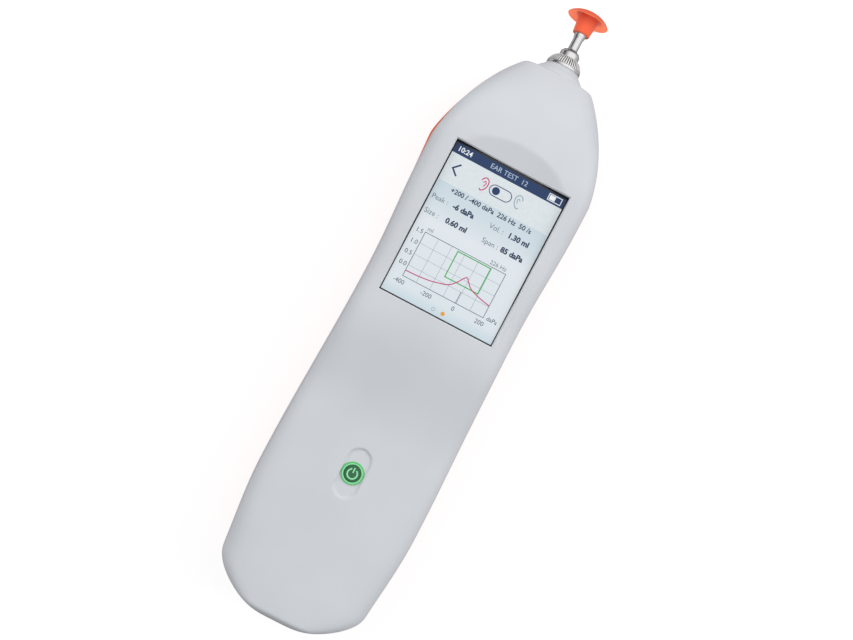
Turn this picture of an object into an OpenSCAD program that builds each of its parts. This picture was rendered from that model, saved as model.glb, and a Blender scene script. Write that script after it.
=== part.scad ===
// Handheld tympanometer, lying on its back: +Z out of the screen, +Y towards the probe, sizes in mm.
// Each place along the body is given as its distance from the foot end.

/* [Body outline] */
// Length of the two covers, foot end to nose end
body_l = 221.5; // [216:0.5:233]
// Half width of the body at the foot corners
foot_half = 27.7; // [25:0.1:29]
// Half width of the body at the grip
grip_half = 32; // [31:0.1:35]
// Half width of the body at the waist below the screen
waist_half = 30; // [29.4:0.1:33]
// Half width of the body at the head
head_half = 31.9; // [31:0.1:35]
// Where the grip is widest, from the foot
grip_s = 50; // [40:1:58]
// Where the waist is narrowest, from the foot
waist_s = 131; // [110:1:140]
// Where the head is widest, back from the nose end
head_back = 45.5; // [38:0.5:52]
// Wall of both covers
wall = 2; // [1.6:0.1:2.2]
// How far the rear cover stands out beside the front cover at the head
rear_proud = 0.4; // [0:0.1:1.2]

/* [Body depth] */
// Height of the parting line and of the probe axis above the back
parting_z = 17; // [15.5:0.5:18.5]
// Height of the grip's front
grip_top = 31; // [29.5:0.5:32.5]
// Height of the front just below the screen
chin_top = 37; // [36.6:0.1:38]
// Height of the crown above the screen
crown_top = 38.3; // [37.6:0.1:39.5]

/* [Screen] */
// Width of the touch glass
glass_w = 44.2; // [40:0.2:45]
// Length of the touch glass
glass_l = 58.6; // [54:0.2:60]
// Thickness of the touch glass
glass_t = 1.1; // [0.8:0.1:1.4]
// Where the middle of the glass is, back from the nose end
glass_back = 68.7; // [66:0.1:74]
// Height of the outer face of the glass
glass_top = 35.8; // [35.4:0.1:36]
// Length of the sloping crescent above the glass
crescent_l = 10; // [6:0.5:13]

/* [Button] */
// Diameter of the green light ring
ring_d = 8.2; // [7:0.1:9]
// Diameter of the button cap inside it
button_d = 6.2; // [5:0.1:6.4]
// Travel of the button
button_travel = 0.6; // [0.3:0.05:0.65]
// Where the button is, from the foot
button_s = 61; // [56:1:66]
// Length of the oval hollow round the button
hollow_l = 19.6; // [14:0.2:24]
// Width of the oval hollow round the button
hollow_w = 9.6; // [9.4:0.1:12]

/* [Battery] */
// Width of the battery pack
battery_w = 36; // [28:0.5:36.5]
// Length of the battery pack
battery_l = 66; // [50:1:66]
// Depth of the battery pack
battery_t = 17; // [12:0.5:17]
// Where the battery pack starts, from the foot
battery_s = 25; // [25:0.5:28]

/* [Probe] */
// Diameter of the nose collar at its base
collar_d = 18.8; // [17:0.2:19.4]
// Diameter of the nose collar under the ring
collar_top_d = 13.5; // [12.5:0.1:14]
// Height of the nose collar's cone
collar_cone_l = 4.1; // [3.2:0.1:5]
// Diameter of the knurled ring
nut_d = 13.3; // [12.6:0.1:14]
// Height of the knurled ring
nut_l = 4.6; // [4.4:0.1:5.2]
// Number of ribs of the knurl
nut_ribs = 46; // [20:1:50]
// Diameter of the boss that the ring screws onto
thread_d = 9.4; // [9:0.1:9.8]
// Diameter of the shoulder of the probe tip
shoulder_d = 7.5; // [6.8:0.1:7.8]
// Diameter of the neck of the probe tip
neck_d = 3.7; // [3:0.1:4]
// Diameter of the air channel
channel_d = 1.6; // [1.2:0.1:2]

/* [Ear tip] */
// Diameter of the umbrella of the ear tip
umbrella_d = 16.1; // [10:0.1:19]
// Height of the umbrella's crown above its rim
umbrella_h = 2.8; // [1.5:0.1:4]
// Diameter of the stem at its mouth
stem_d = 6.25; // [5.6:0.05:7]
// Diameter of the stem under the umbrella
stem_top_d = 7.9; // [7:0.1:9]
// Length of the stem
stem_l = 5.7; // [5.2:0.1:6.6]

/* [Pump] */
// Bore of the pump cylinder
pump_bore = 12; // [10:0.5:13]
// Stroke of the piston
stroke = 12; // [8:0.5:13]
// Teeth of the motor's gear
motor_teeth = 12; // [10:1:13]
// Teeth of the lead screw's gear
screw_teeth = 24; // [22:1:26]
// Tooth size: pitch diameter over teeth
tooth_size = 0.5; // [0.4:0.05:0.5]

/* [Hidden] */
$fn = 48;
e = 0.01;

// Clearances, and how far cuts run past a face
slip = 0.05;          // round the sliding and turning pieces
seat = 0.2;           // round what drops into a pocket
past = 1;             // how far a cut runs past the face it opens

// Outline of the covers, seen from the front
foot_r = 13;          // length of the rounding at the foot
foot_p = 1.83;        // its fullness
foot_edge = 6;        // length of the rounding between the front and the foot end
foot_blunt = 0.4;     // how early the rounding is cut by the flat foot end
shoulder_back = 38.7; // where the shoulders start, back from the nose end
shoulder_over = 7.1;  // where they would meet, past the nose end
shoulder_s = body_l - shoulder_back;
shoulder_end = body_l + shoulder_over;
head_s = body_l - head_back;
half_rows = [[0, foot_half], [grip_s, grip_half], [waist_s, waist_half], [head_s, head_half]];
proud_l = 54.5;       // length of the stretch where the rear cover stands out
proud_in = 22;        // its fade at the foot side
proud_out = 12.5;     // its fade at the nose
proud_rows = [
    [body_l - proud_l, 0], [body_l - proud_l + proud_in, rear_proud],
    [body_l - proud_out, rear_proud], [body_l, 0]
];

// Outline of the covers, seen from the side
glass_s = body_l - glass_back;
glass_low = glass_s - glass_l / 2;
glass_high = glass_s + glass_l / 2;
grip_end = 75;        // where the front starts to rise to the screen
chin_s = glass_low - 3;
crown_s = glass_high + 4;
top_rows = [[grip_end, grip_top], [chin_s, chin_top], [crown_s, crown_top]];
land_over = 0.9;      // how much the rounded back is cut to leave a flat land
nose_over = 8.2;      // where the front and the back would meet, past the nose end
nose_end = body_l + nose_over;

// Fullness of the cross-sections, front and rear, along the body
foot_full_s = 22;     // where the back has its full width
front_full = [[0, 5.5], [button_s - 3, 6], [glass_low - 2, 6.5], [crown_s, 6], [body_l, 2.8]];
rear_full = [[0, 2.6], [foot_full_s, 4], [glass_high, 4], [body_l, 2.2]];

stations = 36;        // cross-sections along a cover
ring_steps = 24;      // sides of a half cross-section

// Display stack, from the glass down
pocket_w = glass_w + 2 * seat;
pocket_l = glass_l + 2 * seat;
ledge_top = glass_top - glass_t;
ledge_t = 1.1;
ledge_low = ledge_top - ledge_t;
ledge_in = 1.2;       // how far the ledge reaches under the glass
ledge_over = 0.5;     // how far the ledge plate reaches past the carrier
panel_over = 0.9;     // how far the panel reaches past the glass
panel_w = glass_w + 2 * panel_over;
panel_l = glass_l + 2 * panel_over;
panel_t = 2.4;
gasket_t = 0.5;
gasket_w = 1.6;       // width of the gasket's rim
carrier_wall = 1.4;
carrier_w = panel_w + 2 * carrier_wall;
carrier_l = panel_l + 2 * carrier_wall;
carrier_h = 5.6;
carrier_low = ledge_low - carrier_h;
panel_low = ledge_low - gasket_t - panel_t;
flex_w = 16;
flex_t = 0.3;
flex_l = 2.2;         // length of the cable's leg under the panel
flex_in = 0.6;        // how far inside the carrier's end the cable bends
crescent_side = 3;    // how far the crescent runs past the pocket of the glass
crescent_r = 85;      // radius of its scoop
crescent_web_w = 36;  // width of the thicker wall under the crescent
crescent_web_t = 1.6;

// Main board and what it carries
board_t = 1.6;
board_low = carrier_low - board_t;
board_w = 44;
board_start = carrier_s(-1);
board_end = glass_high + 13;
corner_in = 3.5;      // from the board's edges to its corner screws
board_screw_r = 0.9;
board_screw_head_r = 1.8;
board_screw_head_t = 1.2;
board_screw_tip = 0.4;
// Each chip: [across, from the middle of the glass, width, length, height]
chip_rows = [[-6, -21, 10, 10, 1.4], [8, -20.5, 7, 7, 1.2], [-13, -6, 6, 8, 1], [-12, 10.5, 8, 5, 1.2]];
radio_size = [14, 9, 0.8];
radio_can = [12, 5.5, 1.6];
radio_s = glass_high + 3.4;
sensor_size = [7, 7, 3];
sensor_x = -14;
sensor_s = glass_high + 6;
nipple_r = 1.1;
nipple_l = 2.5;
function carrier_s(side) = glass_s + side * carrier_l / 2;

// Screws that hold the covers: [distance from the middle, distance from the foot]
waist_screw_back = 13;
nose_screw_back = 20.5;
cover_spots = [[21, 16.5], [23.5, glass_low - waist_screw_back], [17.5, body_l - nose_screw_back]];
boss_r = 3.6;
screw_r = 1.3;
screw_head_r = 2.4;
screw_head_t = 1.6;
screw_shelf_z = parting_z - 5;
screw_end_z = parting_z + 4.4;
recess = [2.6, 0.6, 0.8]; // cross recess: length, width, depth

// Button stack
hollow_z = grip_top - 0.6;
ring_hole_r = ring_d / 2 + 0.15;
ring_lip_r = ring_d / 2 + 1.3;
ring_low = grip_top - 3.2;
ring_seat_z = grip_top - wall - 0.1;
cap_flange_r = button_d / 2 + 0.7;
cap_flange_top = ring_low - 0.1;
cap_flange_t = 0.8;
stem_low = grip_top - 4.8;
switch_r = 1.2;
switch_w = 5;
switch_cap = 0.3;
button_board_z = grip_top - 9;
button_board_t = 1.2;
button_board_w = 20;
button_board_l = 26;
post_x = 7.5;
post_s = 10;
post_r = 1.8;
peg_r = 0.8;

// Battery bay and its door
bay_gap = 1;          // room round the battery pack
bay_w = battery_w + bay_gap;
bay_start = battery_s - bay_gap;
bay_end = battery_s + battery_l + bay_gap;
bay_wall = 2;
bay_top = 12;
battery_r = 3;        // rounding of the pack's long edges
door_lap = 4;         // how far the door reaches past the bay at each end
door_w = bay_w;
door_start = bay_start - door_lap;
door_end = bay_end + door_lap;
door_t = wall;
door_rim = 1.6;       // wall of the bay past the door's ends
tongue_x = 10;
tongue_w = 6;
tongue_l = 1.6;
door_screw_s = door_start + 2.2;
door_screw_l = 5.5;   // how far the screw reaches past the door
sink_t = 1.2;         // depth of its countersink
finger_l = 14;        // length of the door's finger grooves
finger_r = 0.75;
finger_sink = 0.35;   // how far their axis lies outside the door
finger_step = 2.2;
finger_s = bay_start + 8;
contact_w = 3;
contact_step = 8;     // between the battery's leaf contacts
contact_low = 5;
pin_x = 2.4;          // charging pins: from the middle, above the parting line, and their radii
pin_up = 3;
pin_r = 1.1;
pin_head_r = 1.6;
pin_head_t = 1;

// Probe, along its axis
collar_top = body_l + collar_cone_l;
collar_bead = 0.5;    // rounding of the cone's top edge
collar_foot_l = 2.8;  // length of the collar below its groove
boss_top = collar_top + nut_l - 2;
seal_t = 0.6;
flange_t = 0.7;
flange_low = boss_top + seal_t;
flange_r = thread_d / 2 - 0.3;
shoulder_low = flange_low + flange_t;
shoulder_l = 3.6;
shoulder_top = shoulder_low + shoulder_l;
shoulder_r = 1.3;     // rounding of the shoulder's edge
neck_r = 1.2;         // fillet between the shoulder and the neck
neck_l = 11.6;
neck_top = shoulder_top + neck_l;
barb = 0.3;           // how far the top of the neck is thicker, and its taper
barb_l = 2.2;
spigot_r = 2.95;
nut_low = collar_top + 0.1;
nut_top = nut_low + nut_l;
band_l = 1.2;         // smooth band at the foot of the ring
rib_h = 0.3;          // height of the knurl's ribs
groove_low = body_l - 12.7;
groove_l = 2.4;
bulkhead_t = 2;
groove_r = collar_d / 2 - 1.4;
block_end = groove_low - collar_foot_l;
stem_up = 7.2;        // neck left bare below the ear tip
tip_low = shoulder_top + stem_up;
rim_s = tip_low + stem_l;
rim_t = 0.2;          // thickness of the umbrella's edge
skirt_t = 1.1;        // thickness of the umbrella at its crown
skirt_edge = 0.5;     // width of its edge
stem_edge = 0.25;     // chamfer of the stem's mouth
mouth_r = 1.1;        // mouth of the ear tip
overall_l = rim_s + umbrella_h + rim_t;

// Pump, beside the body's middle
screw_x = 6;
pump_z = 13;
motor_x = screw_x - (motor_teeth + screw_teeth) * tooth_size / 2;
motor_r = 6;
motor_gap = 0.4;      // between the motor and the bracket's edge
motor_l = 20;
shaft_r = 0.75;
shaft_l = 7.5;        // length of the shaft inside the motor
bracket_s = glass_s - 0.3;
bracket_t = 1.6;
bracket_edge = 5;     // from the lead screw to the bracket's edge
bracket_foot_l = 6;
bracket_foot_t = 1.2;
gear_t = 3;
gear_s = bracket_s + bracket_t + 0.4;
lead_r = 1.5;
barrel_wall = 1;
barrel_s = gear_s + gear_t + 1.6;
cradle_s = barrel_s + 6;
cradle_t = 3;
cradle_w = pump_bore + 2 * barrel_wall + 4;
piston_l = 4;
piston_s = barrel_s + 1;
ring_low_l = 1.4;     // from the piston's end to the groove of its seal
ring_high_l = 2.6;
ring_t = 0.8;
barrel_end = piston_s + piston_l + stroke + 4;
head_t = 2;           // closed end of the cylinder
nozzle_l = 4;
nozzle_r = 1.5;
tube_wall = 0.8;
lead_end = barrel_end - head_t - 0.6;
block_s = barrel_end + nozzle_l + 1;
block_w = 18;
block_h = 15;
receiver_size = [8, 6.6, 4];
receiver_end = groove_low - 3.4;
microphone_r = 3;
microphone_t = 2.2;
valve_r = 2.6;
valve_t = 3.2;
side_s = block_s + 4; // microphone and valve, from the foot

// Shared shapes

// Eased value at distance s in rows of [distance, value]
function eased(rows, s) =
    let (last = len(rows) - 1)
    s <= rows[0][0] ? rows[0][1] : s >= rows[last][0] ? rows[last][1] :
    let (k = max([for (j = [0:last - 1]) if (rows[j][0] <= s) j]))
    let (t = (s - rows[k][0]) / (rows[k + 1][0] - rows[k][0]))
    rows[k][1] + (rows[k + 1][1] - rows[k][1]) * (1 - cos(180 * t)) / 2;

// Share of the full width left at distance d inside a rounded end of length r
function rounding(d, r, p) = d >= r ? 1 : pow(1 - pow(1 - max(d, 0) / r, p), 1 / p);

// Share left along a shoulder that starts at s0 and would close at s1
function closing(s, s0, s1, p, q) = s <= s0 ? 1 : pow(1 - pow((s - s0) / (s1 - s0), p), 1 / q);

// Half width, front height and rear depth from the parting line, skin mm inside the surface
function half_width(s, skin, extra) =
    (eased(half_rows, s) + extra - skin) * rounding(s - skin + foot_blunt, foot_r, foot_p)
    * closing(s, shoulder_s, shoulder_end - skin, 1.27, 2.07);
function front_height(s, skin) =
    (eased(top_rows, s) - parting_z - skin) * rounding(s - skin + 3 * foot_blunt, foot_edge, 2.2)
    * closing(s, crown_s, nose_end - skin, 1.6, 1.5);
function rear_depth(s, skin) =
    (parting_z + (skin > 0 ? -skin : land_over)) * rounding(s - skin + 3 * foot_blunt, foot_r, 2.2)
    * closing(s, crown_s, nose_end - skin, 1.6, 1.5);

// Half cross-section, from +X over the front or the back to -X
function half_section(s, skin, front) =
    let (w = half_width(s, skin, front ? 0 : eased(proud_rows, s)))
    let (h = front ? front_height(s, skin) : -rear_depth(s, skin))
    let (n = eased(front ? front_full : rear_full, s))
    [for (j = [0:ring_steps])
        let (a = 180 * j / ring_steps)
        [w * sign(cos(a)) * pow(abs(cos(a)), 2 / n), h * pow(abs(sin(a)), 2 / n)]];

// Height of the front or the back, skin mm inside its surface, at x from the middle
function skin_z(x, s, skin, front) =
    let (w = half_width(s, skin, 0))
    let (h = front ? front_height(s, skin) : -rear_depth(s, skin))
    let (n = eased(front ? front_full : rear_full, s))
    parting_z + h * pow(1 - pow(min(abs(x) / w, 1), n), 1 / n);

// Height at which a screw boss ends inside the wall of its cover
function boss_end(spot, front) =
    let (x = spot[0] + 0.6 * boss_r)
    let (ends = [for (d = [-0.7, 0.7]) skin_z(x, spot[1] + d * boss_r, wall / 2, front)])
    front ? min(ends) : max(ends);

// Distance of cross-section i from the foot, closer together at both ends
function station(i, skin) =
    skin + (body_l - 2 * skin) * (0.45 * i / stations + 0.55 * (1 - cos(180 * i / stations)) / 2);

function skin_points(skin, front) =
    [for (i = [0:stations])
        let (s = station(i, skin))
        for (p = half_section(s, skin, front)) [p[0], s, parting_z + p[1]]];

// Two triangles of a four-sided patch
function patch(a, b, c, d) = [[a, b, c], [a, c, d]];

// Hollow half of the body: outer skin, inner skin, rim and end walls
module half_cover(front) {
    row = ring_steps + 1;
    inner = row * (stations + 1);
    last = row * stations;
    faces = concat(
        [for (i = [0:stations - 1], j = [0:ring_steps - 1])
            let (k = i * row + j)
            each patch(k, k + 1, k + row + 1, k + row)],
        [for (i = [0:stations - 1], j = [0:ring_steps - 1])
            let (k = inner + i * row + j)
            each patch(k, k + row, k + row + 1, k + 1)],
        [for (i = [0:stations - 1])
            let (k = i * row)
            each patch(k, k + row, inner + k + row, inner + k)],
        [for (i = [0:stations - 1])
            let (k = i * row + ring_steps)
            each patch(k + row, k, inner + k, inner + k + row)],
        [[for (j = [0:ring_steps]) ring_steps - j]],
        [[for (j = [0:ring_steps]) inner + j]],
        [[for (j = [0:ring_steps]) last + j]],
        [[for (j = [0:ring_steps]) inner + last + ring_steps - j]],
        patch(0, inner, inner + ring_steps, ring_steps),
        patch(last + ring_steps, inner + last + ring_steps, inner + last, last)
    );
    polyhedron(
        concat(skin_points(0, front), skin_points(wall, front)),
        front ? faces : [for (f = faces) [for (k = [len(f) - 1:-1:0]) f[k]]]
    );
}

// From distances along the body to the part's own frame
module place() {
    translate([0, -overall_l / 2, 0]) children();
}

// Turns a shape that stands on +Z so that it points along the body from distance s
module along(s, x = 0, z = parting_z) {
    translate([x, s, z]) rotate([-90, 0, 0]) children();
}

// Box centred across the body
module bar(w, s0, s1, z0, z1, x = 0) {
    translate([x - w / 2, s0, z0]) cube([w, s1 - s0, z1 - z0]);
}

// Upright pin or hole
module post(x, s, z0, z1, r) {
    translate([x, s, z0]) cylinder(h = z1 - z0, r = r);
}

// The six places of the cover screws
module at_cover_screws() {
    for (spot = cover_spots, side = [-1, 1]) translate([side * spot[0], spot[1], 0]) children();
}

// Box w by l round the middle of the glass
module slab(w, l, z0, z1) {
    bar(w, glass_s - l / 2, glass_s + l / 2, z0, z1);
}

// The four corner screws of the main board
module at_board_corners() {
    x = board_w / 2 - corner_in;
    y = carrier_l / 2 - corner_in;
    for (i = [-1, 1], j = [-1, 1]) translate([i * x, glass_s + j * y, 0]) children();
}

// The four posts of the button's board
module at_button_posts() {
    for (x = [-1, 1], y = [-1, 1]) translate([x * post_x, button_s + y * post_s, 0]) children();
}

// Plate across a cover that grips the nose collar's groove
module bulkhead(front) {
    low = groove_low + (groove_l - bulkhead_t) / 2;
    section = half_section(low + bulkhead_t, wall / 2, front);
    difference() {
        translate([0, low + bulkhead_t, parting_z])
            rotate([90, 0, 0])
            linear_extrude(bulkhead_t) polygon(section);
        along(low - e) cylinder(h = bulkhead_t + 2 * e, r = groove_r + 2 * slip);
    }
}

// Covers

module front_cover() {
    crescent_w = pocket_w + 2 * crescent_side;
    crescent_rise = crown_top - glass_top;
    hollow_run = (hollow_l - hollow_w) / 2;
    high = crown_top + past;
    place() color("gainsboro") difference() {
        union() {
            half_cover(true);
            slab(carrier_w + 2 * ledge_over, carrier_l + 2 * ledge_over, ledge_low - 1, ledge_top + 0.1);
            translate([0, glass_high, ledge_top])
                bar(crescent_web_w, -2, crescent_l + 2, -e, crescent_web_t);
            bulkhead(true);
            for (spot = cover_spots, side = [-1, 1])
                post(side * spot[0], spot[1], parting_z, boss_end(spot, true), boss_r);
            at_button_posts() {
                post(0, 0, button_board_z + button_board_t, grip_top - wall / 2, post_r);
                post(0, 0, button_board_z - peg_r / 2, grip_top - wall / 2, peg_r);
            }
        }
        // room for the display from inside, its window and the pocket of the glass
        slab(carrier_w + seat, carrier_l + seat, parting_z, ledge_low);
        slab(glass_w - 2 * ledge_in, glass_l - 2 * ledge_in, parting_z, high);
        slab(pocket_w, pocket_l, ledge_top, high);
        // sloping, slightly scooped crescent above the glass
        intersection() {
            translate([-crescent_w / 2, 0, 0]) rotate([90, 0, 90]) linear_extrude(crescent_w) polygon([
                [glass_high - 1, glass_top], [glass_high, glass_top],
                [glass_high + 2 * crescent_l, glass_top + 2 * crescent_rise],
                [glass_high - 1, glass_top + 2 * crescent_rise]
            ]);
            translate([0, glass_high, glass_top])
                rotate([atan(crescent_rise / crescent_l) - 90, 0, 0])
                translate([0, -crescent_r, -2 * crescent_l])
                cylinder(h = 6 * crescent_l, r = crescent_r, $fn = 720);
        }
        // oval hollow and hole of the button
        for (y = [-1, 1])
            post(0, button_s + y * hollow_run, hollow_z, grip_top + past, hollow_w / 2);
        bar(hollow_w, button_s - hollow_run, button_s + hollow_run, hollow_z, grip_top + past);
        post(0, button_s, parting_z, grip_top + past, ring_hole_r);
        post(0, button_s, parting_z, ring_seat_z, ring_lip_r + seat);
        // nose collar, screws and charging contacts
        collar_hole();
        at_cover_screws() post(0, 0, parting_z - past, screw_end_z + seat, screw_r + slip);
        at_charge_pins() translate([0, 0, -e]) cylinder(h = wall + past, r = pin_r + slip);
    }
}

module rear_cover() {
    place() color("darkorange") difference() {
        union() {
            half_cover(false);
            bulkhead(false);
            for (spot = cover_spots, side = [-1, 1])
                post(side * spot[0], spot[1], boss_end(spot, false), parting_z, boss_r);
            bar(bay_w + 2 * bay_wall, door_start - door_rim, door_end + 1.5 * door_rim, wall / 2, bay_top);
            // cradle of the pump cylinder
            bar(cradle_w, cradle_s, cradle_s + cradle_t, wall / 2, pump_z, screw_x);
        }
        // flat land that the back lies on
        bar(4 * head_half, -past, body_l + past, -past, 0);
        bar(bay_w, bay_start, bay_end, -past, bay_top + past);
        bar(door_w, door_start, door_end, -past, door_t);
        for (x = [-1, 1])
            translate([x * tongue_x, door_end - e, door_t / 2 - seat / 4])
                bar(tongue_w + seat, 0, tongue_l + seat, 0, door_t / 2 + 0.75 * seat);
        post(0, door_screw_s, 0, door_t + door_screw_l + seat, screw_r + slip);
        at_cover_screws() {
            post(0, 0, -past, screw_shelf_z, screw_head_r + seat);
            post(0, 0, 0, parting_z + past, screw_r + slip);
        }
        collar_hole();
        along(cradle_s - past, screw_x, pump_z)
            cylinder(h = cradle_t + 2 * past, r = pump_bore / 2 + barrel_wall);
    }
}

// Hole of the nose collar in the end of both covers
module collar_hole() {
    along(groove_low + groove_l) cylinder(h = nose_end - groove_low, r = collar_d / 2 + 2 * slip);
}

// Cone between the covers and the ring, with the threaded boss and the groove that the covers grip
module nose_collar() {
    r = collar_d / 2;
    top = collar_top;
    place() color("gainsboro") along(0) rotate_extrude() polygon([
        [spigot_r + slip, block_end], [r, block_end],
        [r, groove_low], [groove_r, groove_low],
        [groove_r, groove_low + groove_l], [r, groove_low + groove_l],
        [r, body_l], [collar_top_d / 2 + collar_bead, top - collar_bead], [collar_top_d / 2, top],
        [thread_d / 2, top], [thread_d / 2, boss_top], [spigot_r + slip, boss_top]
    ]);
}

module battery_door() {
    gap = seat / 2;
    place() color("darkorange") difference() {
        union() {
            bar(door_w - 2 * gap, door_start + gap, door_end - gap, 0, door_t);
            for (x = [-1, 1])
                bar(tongue_w, door_end - gap - e, door_end + tongue_l, door_t / 2, door_t, x * tongue_x);
        }
        post(0, door_screw_s, -past, door_t + past, screw_r + slip);
        translate([0, door_screw_s, -e]) cylinder(h = sink_t, r1 = screw_head_r, r2 = screw_r + slip);
        // finger grooves across the door
        for (k = [0:4])
            translate([-finger_l / 2, finger_s + finger_step * k, -finger_sink])
                rotate([0, 90, 0])
                cylinder(h = finger_l, r = finger_r);
    }
}

// Cross recess in a head whose face is at height z
module cross_recess(z) {
    for (a = [0, 90])
        rotate(a) bar(recess[0], -recess[1] / 2, recess[1] / 2, z - past, z + recess[2]);
}

// Screw that stands on its head
module screw(head_z, end_z) {
    difference() {
        union() {
            post(0, 0, head_z, head_z + screw_head_t, screw_head_r);
            post(0, 0, head_z, end_z, screw_r);
        }
        cross_recess(head_z);
    }
}

module cover_screws() {
    place() color("silver") at_cover_screws() screw(screw_shelf_z - screw_head_t, screw_end_z);
}

module door_screw() {
    place() color("silver") translate([0, door_screw_s, 0]) difference() {
        union() {
            translate([0, 0, seat / 2])
                cylinder(h = sink_t - seat / 2, r1 = screw_head_r - seat, r2 = screw_r);
            post(0, 0, sink_t / 2, door_t + door_screw_l, screw_r);
        }
        cross_recess(0);
    }
}

// Display

module touch_glass() {
    place() color("darkslategray") bar(glass_w, glass_low, glass_high, ledge_top, glass_top);
}

module display_gasket() {
    place() color("dimgray") difference() {
        slab(panel_w, panel_l, ledge_low - gasket_t, ledge_low);
        slab(panel_w - 2 * gasket_w, panel_l - 2 * gasket_w, ledge_low - past, ledge_low + past);
    }
}

module display_panel() {
    place() color("lightsteelblue") slab(panel_w, panel_l, panel_low, panel_low + panel_t);
}

// Tray that holds the panel and carries the main board on its legs
module display_carrier() {
    floor_t = panel_low - carrier_low;
    rim_in = 5 * carrier_wall;
    place() color("dimgray") difference() {
        slab(carrier_w, carrier_l, carrier_low, ledge_low);
        slab(panel_w + seat, panel_l + seat, panel_low, ledge_low + past);
        // window through the floor, and the wider room under it
        slab(panel_w - rim_in, panel_l - 2 * rim_in, carrier_low - past, panel_low + past);
        slab(panel_w - 2 * rim_in, panel_l - rim_in, carrier_low - past, panel_low - floor_t / 3);
        // slot of the flat cable
        translate([0, carrier_s(-1), 0])
            bar(flex_w + 2, -past, flex_in + flex_l + seat, carrier_low - past, panel_low + e);
        at_board_corners() post(0, 0, carrier_low - past, panel_low - board_screw_tip, board_screw_r + slip);
    }
}

// Flat cable from the lower edge of the panel to the main board
module display_flex() {
    top = panel_low;
    bend = carrier_s(-1) + flex_in;
    lap = bend + 0.75 * flex_l;
    place() color("goldenrod") translate([-flex_w / 2, 0, 0]) rotate([90, 0, 90])
        linear_extrude(flex_w) polygon([
        [bend + flex_l, top], [bend, top], [bend, carrier_low], [lap, carrier_low],
        [lap, carrier_low + flex_t], [bend + flex_t, carrier_low + flex_t],
        [bend + flex_t, top - flex_t], [bend + flex_l, top - flex_t]
    ]);
}

// Main board

module main_board() {
    place() color("darkgreen") difference() {
        bar(board_w, board_start, board_end, board_low, carrier_low);
        at_board_corners() post(0, 0, board_low - past, carrier_low + past, board_screw_r + slip);
    }
}

module board_screws() {
    head_low = board_low - board_screw_head_t;
    place() color("silver") at_board_corners() {
        post(0, 0, head_low, board_low, board_screw_head_r);
        post(0, 0, head_low, carrier_low + board_t, board_screw_r);
    }
}

// Processor, converter and memory under the board
module board_chips() {
    place() color("black") for (c = chip_rows)
        bar(c[2], glass_s + c[1] - c[3] / 2, glass_s + c[1] + c[3] / 2, board_low - c[4], board_low, c[0]);
}

module radio_module() {
    top = carrier_low + radio_size[2];
    place() color("silver") {
        bar(radio_size[0], radio_s, radio_s + radio_size[1], carrier_low, top);
        translate([0, radio_s + radio_can[1] / 10, top]) bar(radio_can[0], 0, radio_can[1], 0, radio_can[2]);
    }
}

// Pressure sensor under the board, with its nipple
module pressure_sensor() {
    low = board_low - sensor_size[2];
    place() color("ivory") {
        translate([sensor_x, sensor_s, low])
            bar(sensor_size[0], -sensor_size[1] / 2, sensor_size[1] / 2, 0, sensor_size[2]);
        post(sensor_x, sensor_s, low - nipple_l, low, nipple_r);
    }
}

// Button

module light_ring() {
    bore = button_d / 2 + 2 * slip;
    top = grip_top - slip;
    place() color("limegreen") translate([0, button_s, 0]) rotate_extrude() polygon([
        [bore, ring_low], [ring_lip_r, ring_low], [ring_lip_r, ring_seat_z], [ring_d / 2, ring_seat_z],
        [ring_d / 2, top - seat], [ring_d / 2 - seat, top], [bore, top]
    ]);
}

// Button cap with the flange that keeps it in and the stem over the switch
module power_button() {
    r = button_d / 2;
    flange_z = cap_flange_top - cap_flange_t;
    place() color("darkgreen") translate([0, button_s, 0]) rotate_extrude() polygon([
        [0, stem_low], [switch_r, stem_low], [switch_r, flange_z],
        [cap_flange_r, flange_z], [cap_flange_r, cap_flange_top], [r, cap_flange_top],
        [r, grip_top - seat / 2], [r - seat, grip_top + slip], [0, grip_top + 2 * slip]
    ]);
}

module button_board() {
    top = button_board_z + button_board_t;
    half = button_board_l / 2;
    place() color("darkgreen") difference() {
        bar(button_board_w, button_s - half, button_s + half, button_board_z, top);
        at_button_posts() post(0, 0, button_board_z - past, top + past, peg_r + slip);
    }
}

module button_switch() {
    low = button_board_z + button_board_t;
    top = stem_low - button_travel - 2 * slip;
    place() color("silver") {
        bar(switch_w, button_s - switch_w / 2, button_s + switch_w / 2, low, top - switch_cap);
        post(0, button_s, low, top, switch_r);
    }
}

// Battery

module battery_pack() {
    r = battery_r;
    low = door_t + 1.5 * seat;
    place() color("steelblue") translate([0, battery_s, low]) rotate([-90, 0, 0]) linear_extrude(battery_l) {
        for (x = [-1, 1], y = [0, 1])
            translate([x * (battery_w / 2 - r), -(r + y * (battery_t - 2 * r))]) circle(r = r);
        translate([-battery_w / 2, -battery_t + r]) square([battery_w, battery_t - 2 * r]);
        translate([-battery_w / 2 + r, -battery_t]) square([battery_w - 2 * r, battery_t]);
    }
}

// Leaf contacts between the pack and the end of its bay
module battery_contacts() {
    s = battery_s + battery_l;
    place() color("gold") for (k = [-1:1])
        bar(contact_w, s, bay_end, contact_low, bay_top - bay_gap, k * contact_step);
}

// The two places in the foot end where a cradle charges the battery
module at_charge_pins() {
    for (x = [-pin_x, pin_x]) along(0, x, parting_z + pin_up) children();
}

module charge_contacts() {
    place() color("gold") at_charge_pins() {
        cylinder(h = wall, r = pin_r);
        translate([0, 0, wall]) cylinder(h = pin_head_t, r = pin_head_r);
    }
}

// Pump

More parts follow.
